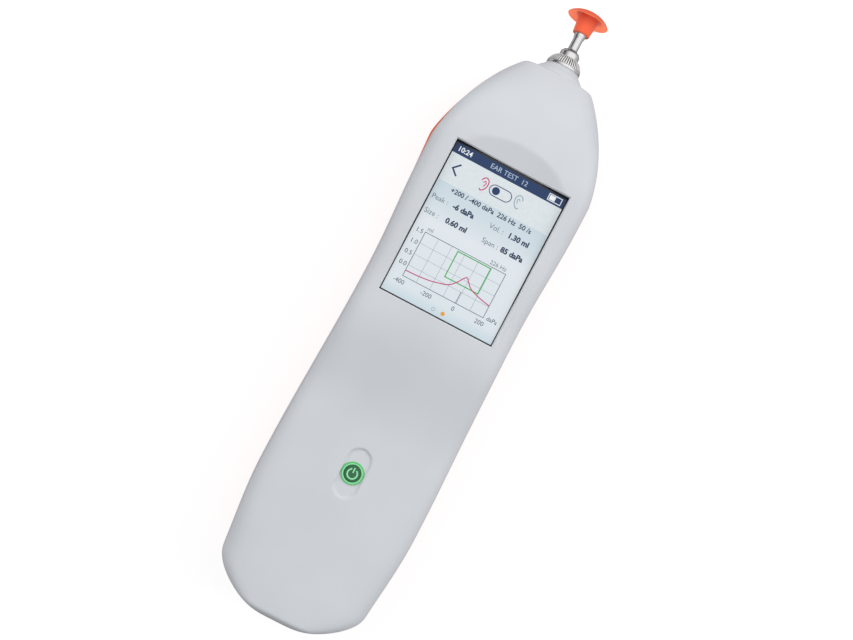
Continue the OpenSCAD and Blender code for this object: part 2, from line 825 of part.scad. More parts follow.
// Involute outline of a gear with its teeth thinned for backlash
function roll(a) = tan(a) * 180 / PI - a;
function flank(teeth, r) =
    let (base = teeth * tooth_size / 2 * cos(20))
    90 / teeth - 1 + roll(20) - (r > base ? roll(acos(base / r)) : 0);
function gear_outline(teeth) =
    let (pitch_r = teeth * tooth_size / 2)
    let (radii = [for (k = [-1.15, -0.6, -0.1, 0.4, 0.85]) pitch_r + k * tooth_size])
    [for (t = [0:teeth - 1])
        each concat(
            [for (r = radii) let (a = 360 * t / teeth - flank(teeth, r)) [r * cos(a), r * sin(a)]],
            [for (k = [4:-1:0])
                let (r = radii[k], a = 360 * t / teeth + flank(teeth, r))
                [r * cos(a), r * sin(a)]]
        )];

module gear(teeth, bore_r, turn) {
    difference() {
        linear_extrude(gear_t) rotate(turn) polygon(gear_outline(teeth));
        translate([0, 0, -past]) cylinder(h = gear_t + 2 * past, r = bore_r);
    }
}

// Plate that carries the motor and the bearing of the lead screw
module pump_bracket() {
    low = motor_x - motor_r;
    high = screw_x + bracket_edge;
    base_z = skin_z(high, bracket_s, wall, false) + e;
    end = bracket_s + bracket_t;
    hole_l = bracket_t + 2 * past;
    place() color("silver") difference() {
        translate([(low + high) / 2, 0, 0]) {
            bar(high - low, bracket_s, end, base_z, pump_z + motor_r + bracket_foot_t);
            bar(high - low, bracket_s - bracket_foot_l, end, base_z, base_z + bracket_foot_t);
        }
        along(bracket_s - past, motor_x, pump_z) cylinder(h = hole_l, r = shaft_r + seat);
        along(bracket_s - past, screw_x, pump_z) cylinder(h = hole_l, r = lead_r + slip);
    }
}

module pump_motor() {
    place() color("gray") along(bracket_s - motor_l, motor_x, pump_z) difference() {
        cylinder(h = motor_l, r = motor_r - motor_gap);
        translate([0, 0, motor_l - shaft_l - seat]) cylinder(h = shaft_l + seat + past, r = shaft_r + slip);
    }
}

module motor_shaft() {
    s = bracket_s - shaft_l;
    place() color("silver") along(s, motor_x, pump_z) cylinder(h = gear_s + gear_t - s, r = shaft_r);
}

module motor_gear() {
    place() color("khaki") along(gear_s, motor_x, pump_z) gear(motor_teeth, shaft_r, 0);
}

module screw_gear() {
    place() color("khaki") along(gear_s, screw_x, pump_z)
        gear(screw_teeth, lead_r, screw_teeth % 2 == 0 ? 180 / screw_teeth : 0);
}

module lead_screw() {
    s = bracket_s - past;
    place() color("silver") along(s, screw_x, pump_z) cylinder(h = lead_end - s, r = lead_r);
}

// Cylinder with a closed end and a nozzle
module pump_cylinder() {
    r = pump_bore / 2;
    place() color("white") along(0, screw_x, pump_z) rotate_extrude() polygon([
        [r, barrel_s], [r + barrel_wall, barrel_s], [r + barrel_wall, barrel_end], [nozzle_r, barrel_end],
        [nozzle_r, barrel_end + nozzle_l], [channel_d / 2, barrel_end + nozzle_l],
        [channel_d / 2, barrel_end - head_t], [r, barrel_end - head_t]
    ]);
}

// Piston that runs on the lead screw, with the groove of its seal
module pump_piston() {
    r = pump_bore / 2 - slip;
    place() color("white") along(piston_s, screw_x, pump_z) rotate_extrude() polygon([
        [lead_r + slip, 0], [r, 0], [r, ring_low_l], [r - ring_t, ring_low_l], [r - ring_t, ring_high_l],
        [r, ring_high_l], [r, piston_l], [lead_r + slip, piston_l]
    ]);
}

module piston_seal() {
    r = pump_bore / 2 - slip;
    low = ring_low_l;
    high = ring_high_l;
    place() color("black") along(piston_s, screw_x, pump_z) rotate_extrude() polygon([
        [r - ring_t, low], [r - seat / 2, low], [r, low + seat],
        [r, high - seat], [r - seat / 2, high], [r - ring_t, high]
    ]);
}

// Soft tube from the nozzle to the probe block
module pump_tube() {
    tube_l = block_s - barrel_end;
    place() color("ivory") along(barrel_end, screw_x, pump_z) difference() {
        cylinder(h = tube_l, r = nozzle_r + tube_wall);
        translate([0, 0, -past]) cylinder(h = tube_l + 2 * past, r = nozzle_r);
    }
}

// Probe

// Block behind the nose collar, where the air, the receiver and the microphone meet
module probe_block() {
    z0 = parting_z - block_h / 2;
    stub_l = collar_foot_l - 1.2;
    inlet_l = 4;
    place() color("dimgray") difference() {
        union() {
            bar(block_w, block_s, block_end, z0, z0 + block_h);
            along(block_end - past) cylinder(h = stub_l + past, r = spigot_r);
        }
        along(block_end - 1.5 * inlet_l) cylinder(h = 1.5 * inlet_l + stub_l + past, r = channel_d / 2);
        along(block_s - past, screw_x, pump_z) cylinder(h = inlet_l + past, r = channel_d / 2);
    }
}

module receiver() {
    z = parting_z + block_h / 2;
    place() color("silver") translate([0, receiver_end, z])
        bar(receiver_size[0], -receiver_size[1], 0, 0, receiver_size[2]);
}

module microphone() {
    z = parting_z - block_h / 2;
    place() color("silver") post(0, side_s, z - microphone_t, z, microphone_r);
}

module relief_valve() {
    place() color("ivory") translate([-block_w / 2, side_s, parting_z])
        rotate([0, -90, 0])
        cylinder(h = valve_t, r = valve_r);
}

module probe_seal() {
    place() color("black") along(boss_top) difference() {
        cylinder(h = seal_t, r = flange_r - 2 * slip);
        translate([0, 0, -past]) cylinder(h = seal_t + 2 * past, r = spigot_r + slip);
    }
}

// Metal tip: spigot, clamped flange, shoulder with a rounded top, slim neck and mouth
module probe_tip() {
    r = shoulder_d / 2;
    n = neck_d / 2;
    place() color("silver") along(0) rotate_extrude() polygon(concat(
        [[channel_d / 2, groove_low + 1], [spigot_r, groove_low + 1], [spigot_r, flange_low],
         [flange_r, flange_low], [flange_r, shoulder_low], [r, shoulder_low]],
        [for (a = [0:30:90]) [r - shoulder_r * (1 - cos(a)), shoulder_top - shoulder_r * (1 - sin(a))]],
        [for (a = [0:30:90]) [n + neck_r * (1 - sin(a)), shoulder_top + neck_r * (1 - cos(a))]],
        [[n, tip_low - barb_l], [n + barb, tip_low - barb_l / 3], [n + barb, neck_top - barb_l / 3],
         [n, neck_top], [channel_d / 2, neck_top]]
    ));
}

// Dome of the ring from its band to its top, drawn in by depth, flatter towards the top than a circle
function nut_dome(depth) =
    [for (k = [0:5])
        let (t = k / 5)
        let (top_r = shoulder_d / 2 + rib_h)
        let (r = top_r + (nut_d / 2 - depth - top_r) * pow(1 - pow(t, 1.6), 0.625))
        [r, nut_low + band_l + (nut_l - band_l) * t]];

// Union nut with a smooth band and a ribbed dome, which clamps the flange of the tip
module knurled_ring() {
    rib = 360 / nut_ribs;
    bore = shoulder_d / 2 + slip;
    place() color("silver") along(0) difference() {
        union() {
            rotate_extrude() polygon(concat(
                [[bore, nut_low], [nut_d / 2 - seat, nut_low], [nut_d / 2, nut_low + seat],
                 [nut_d / 2, nut_low + band_l - rib_h], [nut_d / 2 - rib_h, nut_low + band_l]],
                nut_dome(rib_h), [[bore, nut_top]]
            ));
            for (k = [0:nut_ribs - 1])
                rotate(k * rib) rotate_extrude(angle = rib * 0.55) polygon(concat(
                    [[bore + rib_h / 2, nut_low + band_l]],
                    nut_dome(0),
                    [[bore + rib_h / 2, nut_top - rib_h / 2]]
                ));
        }
        translate([0, 0, nut_low - past])
            cylinder(h = shoulder_low + 2 * slip - nut_low + past, r = thread_d / 2 + slip);
    }
}

// Soft tip: stem that fits over the neck and runs up into a thin, hollow umbrella that seals the ear canal
module ear_tip() {
    rim_r = umbrella_d / 2;
    hollow_r = rim_r - skirt_edge;
    stem_r = stem_top_d / 2;
    bore = neck_d / 2 + barb + slip;
    top = neck_top + 1.5 * seat;
    place() color("tomato") along(0) rotate_extrude() polygon(concat(
        [[bore, tip_low], [stem_d / 2 - stem_edge, tip_low], [stem_d / 2, tip_low + stem_edge]],
        [for (k = [4:-1:0])
            let (a = 22 * k)
            [hollow_r - (hollow_r - stem_r) * (1 - cos(a)), rim_s + (umbrella_h + rim_t - skirt_t) * sin(a)]],
        [for (k = [0:6])
            let (a = 15 * k)
            [rim_r - (rim_r - mouth_r) * (1 - cos(a)), rim_s + rim_t + umbrella_h * sin(a)]],
        [[mouth_r, top], [bore, top]]
    ));
}

front_cover();
rear_cover();
nose_collar();
battery_door();
cover_screws();
door_screw();
touch_glass();
display_gasket();
display_panel();
display_carrier();
display_flex();
main_board();
board_screws();
board_chips();
radio_module();
pressure_sensor();
light_ring();
power_button();
button_switch();
button_board();
battery_pack();
battery_contacts();
charge_contacts();
pump_bracket();
pump_motor();
motor_shaft();
motor_gear();
lead_screw();
screw_gear();
pump_cylinder();
pump_piston();
piston_seal();
pump_tube();
probe_block();
receiver();
microphone();
relief_valve();
probe_seal();
probe_tip();
knurled_ring();
ear_tip();
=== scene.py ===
"""Handheld tympanometer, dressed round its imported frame. Everything is in metres, in the frame's own axes."""
import math

import bmesh
import bpy
from mathutils import Euler, Matrix, Vector


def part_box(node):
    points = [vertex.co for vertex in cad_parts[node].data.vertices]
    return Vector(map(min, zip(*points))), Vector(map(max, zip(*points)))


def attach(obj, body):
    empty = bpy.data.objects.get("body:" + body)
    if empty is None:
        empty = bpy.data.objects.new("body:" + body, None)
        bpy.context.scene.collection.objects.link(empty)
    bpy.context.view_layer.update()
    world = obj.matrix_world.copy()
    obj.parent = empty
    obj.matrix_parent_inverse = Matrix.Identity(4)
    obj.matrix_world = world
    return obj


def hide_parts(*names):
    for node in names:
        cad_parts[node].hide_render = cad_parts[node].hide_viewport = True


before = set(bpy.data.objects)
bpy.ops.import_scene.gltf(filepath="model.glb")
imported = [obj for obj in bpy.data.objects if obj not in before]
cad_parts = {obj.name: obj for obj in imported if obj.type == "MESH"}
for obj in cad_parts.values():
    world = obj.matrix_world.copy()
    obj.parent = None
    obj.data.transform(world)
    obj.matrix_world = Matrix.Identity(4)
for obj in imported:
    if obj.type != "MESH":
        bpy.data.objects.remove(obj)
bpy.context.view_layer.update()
mm = 0.001


# Camera
# It stands where the photograph was taken from: almost straight over the screen, a forearm's length away,
# with the probe turned to the upper right.
def placed(name, data):
    """New object with this data, put into the scene."""
    piece = bpy.data.objects.new(name, data)
    bpy.context.scene.collection.objects.link(piece)
    return piece


lens = bpy.data.cameras.new("camera")
lens.sensor_width = 36.0
lens.lens = 46.26
lens.clip_start = 0.01
lens.clip_end = 10.0
camera = placed("camera", lens)
camera.location = (-0.0200, -0.00635, 0.4183)
camera.rotation_euler = Euler([math.radians(a) for a in (-0.83, -2.56, 27.74)])
bpy.context.scene.camera = camera
bpy.context.scene.view_settings.view_transform = "Standard"


# Front cover
# The white half of the housing, moulded in plastic with a fine satin texture. It carries the pocket of the
# screen, the sloping crescent above it and the shallow oval hollow round the button.
foot_y, nose_y = (corner.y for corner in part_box("front_cover"))
body_l = nose_y - foot_y
parting_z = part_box("rear_cover")[1].z
wall = 2.0 * mm
pane_low, pane_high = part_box("touch_glass")
glass_low, glass_high = pane_low.y - foot_y, pane_high.y - foot_y
glass_half, glass_top = pane_high.x, pane_high.z
pocket_gap = 0.12 * mm
grip_front = 31.0 * mm
chin_front = 37.0 * mm
crown_front = 38.3 * mm
crescent_l, scoop_r = 10.0 * mm, 85 * mm
crown_s = glass_high + 4 * mm
front_rise = [(75 * mm, grip_front), (glass_low - 3 * mm, chin_front), (crown_s, crown_front)]
half_widths = [(0.0, 28.4 * mm), (50 * mm, 31.9 * mm), (131 * mm, 29.9 * mm), (body_l - 45.5 * mm, 31.5 * mm)]
front_fullness = [(0.0, 5.0), (58 * mm, 8.5), (glass_low - 2 * mm, 9.0), (crown_s, 8.0), (body_l, 2.8)]
flank_draft = 0.12
foot_plan, foot_front = (0.15 * mm, 16 * mm, 1.75), (0.1 * mm, 4.5 * mm, 2.2)
shoulder_plan = (body_l - 38.7 * mm, body_l + 7.1 * mm, 1.27, 2.07)
shoulder_side = (crown_s, body_l + 8.2 * mm, 1.6, 1.5)
top_share, least_wall = 0.8, 0.8 * mm


def eased(rows, s):
    """Value at distance s from the foot, eased between rows of (distance, value)."""
    for (s0, v0), (s1, v1) in zip(rows, rows[1:]):
        if s <= s0:
            return v0
        if s < s1:
            return v0 + (v1 - v0) * (1 - math.cos(math.pi * (s - s0) / (s1 - s0))) / 2
    return rows[-1][1]


def foot_rounding(d, lead, length, power):
    """Share of the full section left at distance d inside the foot end; the curve begins lead outside it."""
    d += lead
    return 1.0 if d >= length else (1 - (1 - max(d, 0.0) / length) ** power) ** (1 / power)


def closing(s, skin, start, end, p, q):
    """Share of the section left along the shoulders, which start to close at start and would meet at end."""
    end -= skin
    return 1.0 if s <= start else max(0.0, 1 - ((s - start) / (end - start)) ** p) ** (1 / q)


def section(s, skin, front):
    """Half width, height from the parting line and fullness of a cross-section, skin inside the surface."""
    width = (eased(half_widths, s) - skin) * foot_rounding(s - skin, *foot_plan)
    width *= closing(s, skin, *shoulder_plan)
    if front:
        height = (eased(front_rise, s) - parting_z - skin) * foot_rounding(s - skin, *foot_front)
        fullness = eased(front_fullness, s)
    else:
        width *= 1 + eased(rear_proud, s) / eased(half_widths, s)
        height = (parting_z + (land_over if skin == 0 else -skin)) * foot_rounding(s - skin, *foot_rear)
        fullness = eased(rear_fullness, s)
    return width, height * closing(s, skin, *shoulder_side), fullness


def softer_of(a, b, blend):
    """The lower of two heights, with a fillet where they cross."""
    h = max(blend - abs(a - b), 0.0) / blend
    return min(a, b) - h * h * blend / 4


def set_in(s, skin):
    """Distance along the inner skin that goes with s on the outer one; the end walls are skin thick."""
    run = 14 * mm
    if s < run:
        return skin + s * (run - skin) / run
    if s > body_l - run:
        return body_l - skin - (body_l - s) * (run - skin) / run
    return s


def stations_along(*stretches):
    """Distances along the body: stretches of (end, step), from 0."""
    found = [0.0]
    for end, step in stretches:
        count = max(1, round((end - found[-1]) / step))
        start = found[-1]
        found += [start + (end - start) * (k + 1) / count for k in range(count)]
    return found


def half_shell(name, stations, top_xs, side_steps, front, edit, hole):
    """Closed half of the housing: outer skin, inner skin, rim, end walls and one rectangular hole.

    top_xs are the distances from the middle of the lengthwise lines on the upper side, edit changes the
    outer height at (x, s), and hole is (half width, first distance, last distance)."""
    sign = 1 if front else -1
    lines = [-x for x in reversed(top_xs)] + top_xs[1:]
    columns = 2 * side_steps + len(lines)

    def ring(s, skin):
        inside = set_in(s, skin)
        w, h, n = section(inside, skin, front)
        squeeze = min(1.0, top_share * w / top_xs[-1])
        edge = top_xs[-1] * squeeze

        def height(x):
            z = h * (1 - min(1.0, abs(x) / w) ** n) ** (1 / n)
            return edit(x, s, z) if skin == 0 else min(z, edit(x, s, z + skin) - least_wall)

        start = math.atan2((1 - (edge / w) ** n) ** (1 / n), edge / w)
        side = []
        for k in range(side_steps):
            phi = start * k / side_steps
            r = (math.cos(phi) ** n + math.sin(phi) ** n) ** (-1 / n)
            x, z = w * r * math.cos(phi), h * r * math.sin(phi)
            if front:
                x = edge + (x - edge) * (1 - flank_draft * z / h)
            side.append((x, edit(x, s, z) if skin == 0 and k else z))
        top = [(x * squeeze, height(x * squeeze)) for x in reversed(lines)]
        points = side + top + [(-x, z) for x, z in reversed(side)]
        return [(x, foot_y + inside, parting_z + sign * z) for x, z in points]

    outer = [p for s in stations for p in ring(s, 0.0)]
    inner = [p for s in stations for p in ring(s, wall)]
    n_outer = len(outer)
    half, first, last = hole
    open_columns = [side_steps + k for k in range(len(lines) - 1)
                    if abs(lines[k] + lines[k + 1]) / 2 < half]
    open_rows = [k for k in range(len(stations) - 1) if first < (stations[k] + stations[k + 1]) / 2 < last]
    open_cells = {(i, j) for i in open_rows for j in open_columns}

    def at(i, j, skin=0):
        return skin * n_outer + i * columns + j

    def bridge(a, b):
        """Face from an edge of the outer skin to the one under it."""
        faces.append((at(*a), at(*b), at(*b, 1), at(*a, 1)))

    faces = []
    rim = columns - 1
    for i in range(len(stations) - 1):
        for j in range(columns - 1):
            if (i, j) not in open_cells:
                faces.append((at(i, j), at(i, j + 1), at(i + 1, j + 1), at(i + 1, j)))
                faces.append((at(i, j, 1), at(i + 1, j, 1), at(i + 1, j + 1, 1), at(i, j + 1, 1)))
        bridge((i, 0), (i + 1, 0))
        bridge((i + 1, rim), (i, rim))
    i0, i1, j0, j1 = open_rows[0], open_rows[-1] + 1, open_columns[0], open_columns[-1] + 1
    for j in open_columns:
        bridge((i0, j + 1), (i0, j))
        bridge((i1, j), (i1, j + 1))
    for i in open_rows:
        bridge((i, j0), (i + 1, j0))
        bridge((i + 1, j1), (i, j1))
    far = len(stations) - 1
    faces.append([at(0, j) for j in reversed(range(columns))])
    faces.append([at(0, j, 1) for j in range(columns)])
    faces.append([at(far, j) for j in range(columns)])
    faces.append([at(far, j, 1) for j in reversed(range(columns))])
    faces.append((at(0, 0), at(0, 0, 1), at(0, rim, 1), at(0, rim)))
    faces.append((at(far, rim), at(far, rim, 1), at(far, 0, 1), at(far, 0)))
    if not front:
        faces = [tuple(reversed(f)) for f in faces]
    return mesh_piece(name, outer + inner, faces)


def mesh_piece(name, points, faces):
    """New object made of these points and faces."""
    mesh = bpy.data.meshes.new(name)
    mesh.from_pydata(points, [], faces)
    mesh.validate()
    return placed(name, mesh)


def smoothed(piece, angle):
    """Smooth shading, apart from edges sharper than the angle in degrees."""
    piece.data.shade_smooth()
    piece.data.set_sharp_from_angle(angle=math.radians(angle))
    return piece


def swept_faces(steps, count):
    """Faces between the neighbours of a circle of steps copies of a closed profile of count points."""
    faces = []
    for k in range(steps):
        m = (k + 1) % steps
        for j in range(count):
            q = (j + 1) % count
            faces.append((k * count + j, m * count + j, m * count + q, k * count + q))
    return faces


def facing_out(piece, merge=0.0):
    """Turns the faces outwards, and first merges points that are nearer than merge."""
    edit = bmesh.new()
    edit.from_mesh(piece.data)
    if merge:
        bmesh.ops.remove_doubles(edit, verts=edit.verts, dist=merge)
        bmesh.ops.dissolve_degenerate(edit, dist=merge / 10, edges=edit.edges)
    bmesh.ops.recalc_face_normals(edit, faces=edit.faces)
    edit.to_mesh(piece.data)
    edit.free()
    return piece


def turned(name, profile, steps, along_y=True, centre=(0.0, 0.0, 0.0)):
    """Closed solid turned from a closed profile of (radius, distance along the axis)."""
    points = []
    for k in range(steps):
        c, s = math.cos(2 * math.pi * k / steps), math.sin(2 * math.pi * k / steps)
        for r, d in profile:
            local = (r * c, d, -r * s) if along_y else (r * c, r * s, d)
            points.append(tuple(a + b for a, b in zip(local, centre)))
    return facing_out(mesh_piece(name, points, swept_faces(steps, len(profile))), 1e-7)


def cut_by(piece, *tools):
    """Cuts the tools out of the piece and removes them."""
    for tool in tools:
        cut = piece.modifiers.new("cut", "BOOLEAN")
        cut.object = tool
        cut.solver = "EXACT"
        bpy.context.view_layer.update()
        done = bpy.data.meshes.new_from_object(piece.evaluated_get(bpy.context.evaluated_depsgraph_get()))
        piece.modifiers.clear()
        piece.data = done
        bpy.data.objects.remove(tool)
    return piece


def drill(radius, centre, low, high, along_y=False, steps=96):
    """Round tool for cut_by, from low to high along its axis."""
    return turned("drill", [(0.0, low), (radius, low), (radius, high), (0.0, high)], steps, along_y, centre)


ring_low, ring_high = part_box("light_ring")
button_s = (ring_low.y + ring_high.y) / 2 - foot_y
hollow_w, hollow_l, hollow_depth = 9.6 * mm, 19.6 * mm, 0.6 * mm
hollow_edge, scoop_edge, lip_slope = 0.9 * mm, 0.3 * mm, 0.8
bevel, nose_round = 0.35 * mm, 0.7 * mm
pocket = (glass_half + pocket_gap, glass_low - pocket_gap, glass_high + pocket_gap)


def nose_rounded(s, z):
    """Height z, less the rounding of the last stretch before the nose."""
    if s <= body_l - nose_round:
        return z
    t = (s - body_l + nose_round) / nose_round
    return z - min(z, nose_round * (1 - math.sqrt(max(0.0, 1 - t * t))))


def front_form(x, s, z):
    """Crescent above the screen, hollow round the button, bevel of the pocket and rounded nose."""
    if abs(s - button_s) < hollow_l and abs(x) < hollow_w:
        run = (hollow_l - hollow_w) / 2
        inside = hollow_w / 2 - math.hypot(x, max(0.0, abs(s - button_s) - run))
        t = min(1.0, max(0.0, inside / hollow_edge))
        z = z - (z - (grip_front - hollow_depth - parting_z)) * t * t * (3 - 2 * t)
    if s > glass_high - 2 * mm:
        slope = (crown_front - glass_top) / crescent_l
        beyond = s - glass_high
        plane = glass_top - parting_z + (beyond * slope if beyond > 0 else -beyond * lip_slope)
        z = softer_of(z, plane + x * x / (2 * scoop_r), scoop_edge)
    pocket_x, pocket_0, pocket_1 = pocket
    out = max(abs(x) - pocket_x, pocket_0 - s)
    if out < bevel - 1e-6 and s < pocket_1 + 1e-6:
        z -= bevel - max(0.0, out)
    return nose_rounded(s, z)


front_lines = [0.3 * mm * k for k in range(18)] + [5.4 * mm + 0.6 * mm * k for k in range(28)]
front_lines += [pocket[0], pocket[0] + bevel]
front_stations = stations_along(
    (2 * mm, 0.2 * mm), (14 * mm, 0.5 * mm), (48 * mm, 1.5 * mm), (74 * mm, 0.4 * mm),
    (pocket[1] - bevel, 1.0 * mm), (pocket[1], bevel), (pocket[2] - 2 * mm, 1.2 * mm),
    (pocket[2], 0.25 * mm), (201 * mm, 0.4 * mm), (body_l - nose_round, 0.6 * mm), (body_l, 0.1 * mm)
)
front_cover = half_shell("front_cover_shell", front_stations, front_lines, 30, True, front_form, pocket)

collar_low, collar_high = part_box("nose_collar")
collar_r = collar_high.x
axis_z = parting_z
seam = 0.12 * mm
pin_r, pin_x, pin_z = 1.1 * mm, 2.4 * mm, parting_z + 3 * mm
button_hole_r, pin_hole_r = 4.15 * mm, pin_r + 0.05 * mm
button_hole_low, button_hole_high = 25 * mm, 34 * mm


def collar_opening():
    """Tool for the round opening of the nose, half of which is in each cover."""
    return drill(collar_r + seam, (0, 0, axis_z), collar_low.y - seam, nose_y + 8 * mm, along_y=True)


cut_by(
    front_cover,
    drill(button_hole_r, (0, foot_y + button_s, 0), button_hole_low, button_hole_high),
    collar_opening(),
    *[drill(pin_hole_r, (x, 0, pin_z), foot_y - mm, foot_y + 3 * mm, along_y=True, steps=32)
      for x in (-pin_x, pin_x)]
)
smoothed(front_cover, 32)


def paint(red, green, blue):
    """Linear colour of an everyday one, given from 0 to 255."""
    return tuple((c / 255) ** 2.2 for c in (red, green, blue))


def dimmed(colour, share):
    """The same colour at a share of its light."""
    return [c * share for c in colour]


def node_material(name):
    """New node material, with its tree and its shader."""
    material = bpy.data.materials.new(name)
    material.use_nodes = True
    tree = material.node_tree
    return material, tree, tree.nodes["Principled BSDF"]


def feed(tree, node, inputs):
    """Sets inputs of a node: an output of another node is linked, and any other value is written in."""
    for key, value in inputs.items():
        if isinstance(value, bpy.types.NodeSocket):
            tree.links.new(value, node.inputs[key])
        else:
            node.inputs[key].default_value = value
    return node


def added(tree, kind, inputs, operation=None):
    """New shader node of a kind, with these inputs."""
    node = tree.nodes.new("ShaderNode" + kind)
    if operation:
        node.operation = operation
    return feed(tree, node, inputs)


def own_place(tree):
    """Place of a point in the object's own coordinates."""
    return added(tree, "TexCoord", {}).outputs["Object"]


def grainy(tree, scale, detail=3.0):
    """Noise, in cycles per metre."""
    return added(tree, "TexNoise", {
        "Vector": own_place(tree), "Scale": scale, "Detail": detail
    }).outputs["Fac"]


def ramped(tree, factor, dark, light, low=0.3, high=0.7):
    """Colour between dark and light, following the factor."""
    ramp = added(tree, "ValToRGB", {"Fac": factor})
    ramp.color_ramp.elements[0].position = low
    ramp.color_ramp.elements[0].color = (*dark, 1)
    ramp.color_ramp.elements[1].position = high
    ramp.color_ramp.elements[1].color = (*light, 1)
    return ramp.outputs["Color"]


def bumped(tree, height, strength, distance):
    """Normals of a surface with a bump."""
    return added(tree, "Bump", {
        "Height": height, "Strength": strength, "Distance": distance
    }).outputs["Normal"]


def ranged(tree, factor, low, high, start=0.0, end=1.0):
    """Number that goes from low to high as the factor goes from start to end."""
    return added(tree, "MapRange", {
        "Value": factor, "From Min": start, "From Max": end, "To Min": low, "To Max": high
    }).outputs["Result"]


def moulded_plastic(name, colour, shade=0.03, rough=(0.34, 0.42), grain=2600.0, depth=0.012):
    """Satin moulded plastic: faint clouds of colour, a fine spark grain and slightly uneven gloss."""
    material, tree, shader = node_material(name)
    light = [min(1.0, c) for c in dimmed(colour, 1 + shade)]
    feed(tree, shader, {
        "Base Color": ramped(tree, grainy(tree, 35.0, 2.0), dimmed(colour, 1 - shade), light),
        "Roughness": ranged(tree, grainy(tree, 420.0), *rough),
        "Normal": bumped(tree, grainy(tree, grain, 2.0), 0.35, depth * mm),
        "Specular IOR Level": 0.45
    })
    return material


white_plastic = moulded_plastic("white_satin_plastic", paint(203, 206, 211))
front_cover.data.materials.append(white_plastic)
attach(front_cover, "root")
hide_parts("front_cover")


# Nose collar
# A cone of the same white plastic, gripped between the two covers at the nose. The ring of the probe screws
# onto the boss that stands out of it.
collar_top_r = 6.6 * mm
cone_top = nose_y + 4.1 * mm
boss_r = 4.7 * mm
bore_r = 3.0 * mm
cone_edge = 0.25 * mm
cone_low = nose_y + 1.3 * mm
cone_step, cone_inset = 0.3 * mm, 0.05 * mm
collar_profile = [(bore_r, collar_low.y), (collar_r, collar_low.y), (collar_r, cone_low - cone_step)]
for k in range(7):
    t = k / 6
    collar_profile.append((collar_r - (collar_r - collar_top_r - cone_edge) * t - cone_inset,
                           cone_low + (cone_top - cone_edge - cone_low) * t))
for k in range(1, 6):
    a = math.pi / 2 * k / 5
    collar_profile.append((collar_top_r + cone_edge * math.cos(a),
                           cone_top - cone_edge * (1 - math.sin(a))))
collar_profile += [(boss_r, cone_top), (boss_r, collar_high.y), (bore_r, collar_high.y)]
nose_collar = turned("nose_collar_cone", collar_profile, 128, centre=(0, 0, axis_z))
smoothed(nose_collar, 35).data.materials.append(white_plastic)
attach(nose_collar, "root")
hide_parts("nose_collar")


# Rear cover
# The orange half behind the parting line, moulded in satin plastic. It stands a little proud of the white one
# beside the head, lies on a flat land, and takes six screws in counterbores and the battery door.
land_over, land_edge = 0.9 * mm, 0.25 * mm
rear_proud = [
    (body_l - 54.5 * mm, 0.0), (body_l - 34 * mm, 0.7 * mm), (body_l - 6 * mm, 0.7 * mm), (body_l, 0.0)
]
rear_fullness = [(0.0, 2.6), (22 * mm, 4.0), (glass_high, 4.0), (body_l, 2.2)]
foot_rear = (1.2 * mm, 13 * mm, 2.2)
door_low, door_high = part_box("battery_door")
door_gap = 0.1 * mm
tongue_l = 1.6 * mm
door_hole = (door_high.x + door_gap, door_low.y - foot_y - door_gap, door_high.y - foot_y - tongue_l)


def rear_form(x, s, z):
    """Flat land of the back and rounded nose."""
    return nose_rounded(s, softer_of(z, parting_z, land_edge))


rear_lines = [x * mm for x in range(0, 18)] + [door_hole[0]] + [x * mm for x in (19.5, 20.5, 21.5, 22.5)]
rear_stations = stations_along(
    (2 * mm, 0.2 * mm), (14 * mm, 0.5 * mm), (door_hole[1], 1.5 * mm), (door_hole[2], 2.0 * mm),
    (186 * mm, 1.5 * mm), (body_l - nose_round, 0.8 * mm), (body_l, 0.1 * mm)
)
rear_cover = half_shell("rear_cover_shell", rear_stations, rear_lines, 30, False, rear_form, door_hole)
head_low, head_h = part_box("cover_screws")[0].z, 1.6 * mm
shelf_z, shelf_t = head_low + head_h, 1.5 * mm
counterbore_r = 2.6 * mm
screw_spots = [
    (side * x, foot_y + s, start)
    for x, s, start in ((21.0 * mm, 16.5 * mm, 2.1 * mm), (23.5 * mm, glass_low - 13 * mm, 2.7 * mm),
                        (17.5 * mm, body_l - 20.5 * mm, 5.2 * mm))
    for side in (-1, 1)
]
cut_by(
    rear_cover,
    collar_opening(),
    *[drill(counterbore_r, (x, y, 0), -mm, shelf_z - 0.5 * mm, steps=48) for x, y, start in screw_spots]
)
smoothed(rear_cover, 32)
orange_plastic = moulded_plastic("orange_satin_plastic", paint(226, 92, 42), rough=(0.36, 0.44))
rear_cover.data.materials.append(orange_plastic)
tube_in, tube_out, hole_in = counterbore_r - 0.02 * mm, 2.8 * mm, 1.35 * mm
wells = []
for k, (x, y, start) in enumerate(screw_spots):
    wells.append(turned("screw_well_%d" % (k + 1), [
        (hole_in, shelf_z), (tube_in, shelf_z), (tube_in, start), (tube_out, start),
        (tube_out, shelf_z + shelf_t), (hole_in, shelf_z + shelf_t)
    ], 48, along_y=False, centre=(x, y, 0)))
    smoothed(wells[-1], 32).data.materials.append(orange_plastic)
for piece in [rear_cover] + wells:
    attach(piece, "root")
    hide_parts("rear_cover")


# Battery door
# A flat orange panel in the back, held by one countersunk screw at the foot and by two tongues that hook
# under the cover. Five grooves give the thumb a grip.
def piece_of(name, shape):
    """New object with the mesh that a bmesh holds."""
    mesh = bpy.data.meshes.new(name)
    shape.to_mesh(mesh)
    shape.free()
    return placed(name, mesh)


def bevelled_block(name, low, high, edge, segments=2):
    """Box from its corners with rounded edges."""
    shape = bmesh.new()
    bmesh.ops.create_cube(shape, size=1.0)
    for vertex in shape.verts:
        for k in range(3):
            vertex.co[k] = low[k] if vertex.co[k] < 0 else high[k]
    bmesh.ops.bevel(shape, geom=shape.edges[:], offset=edge, segments=segments, profile=0.5,
                    affect="EDGES", clamp_overlap=True)
    return piece_of(name, shape)


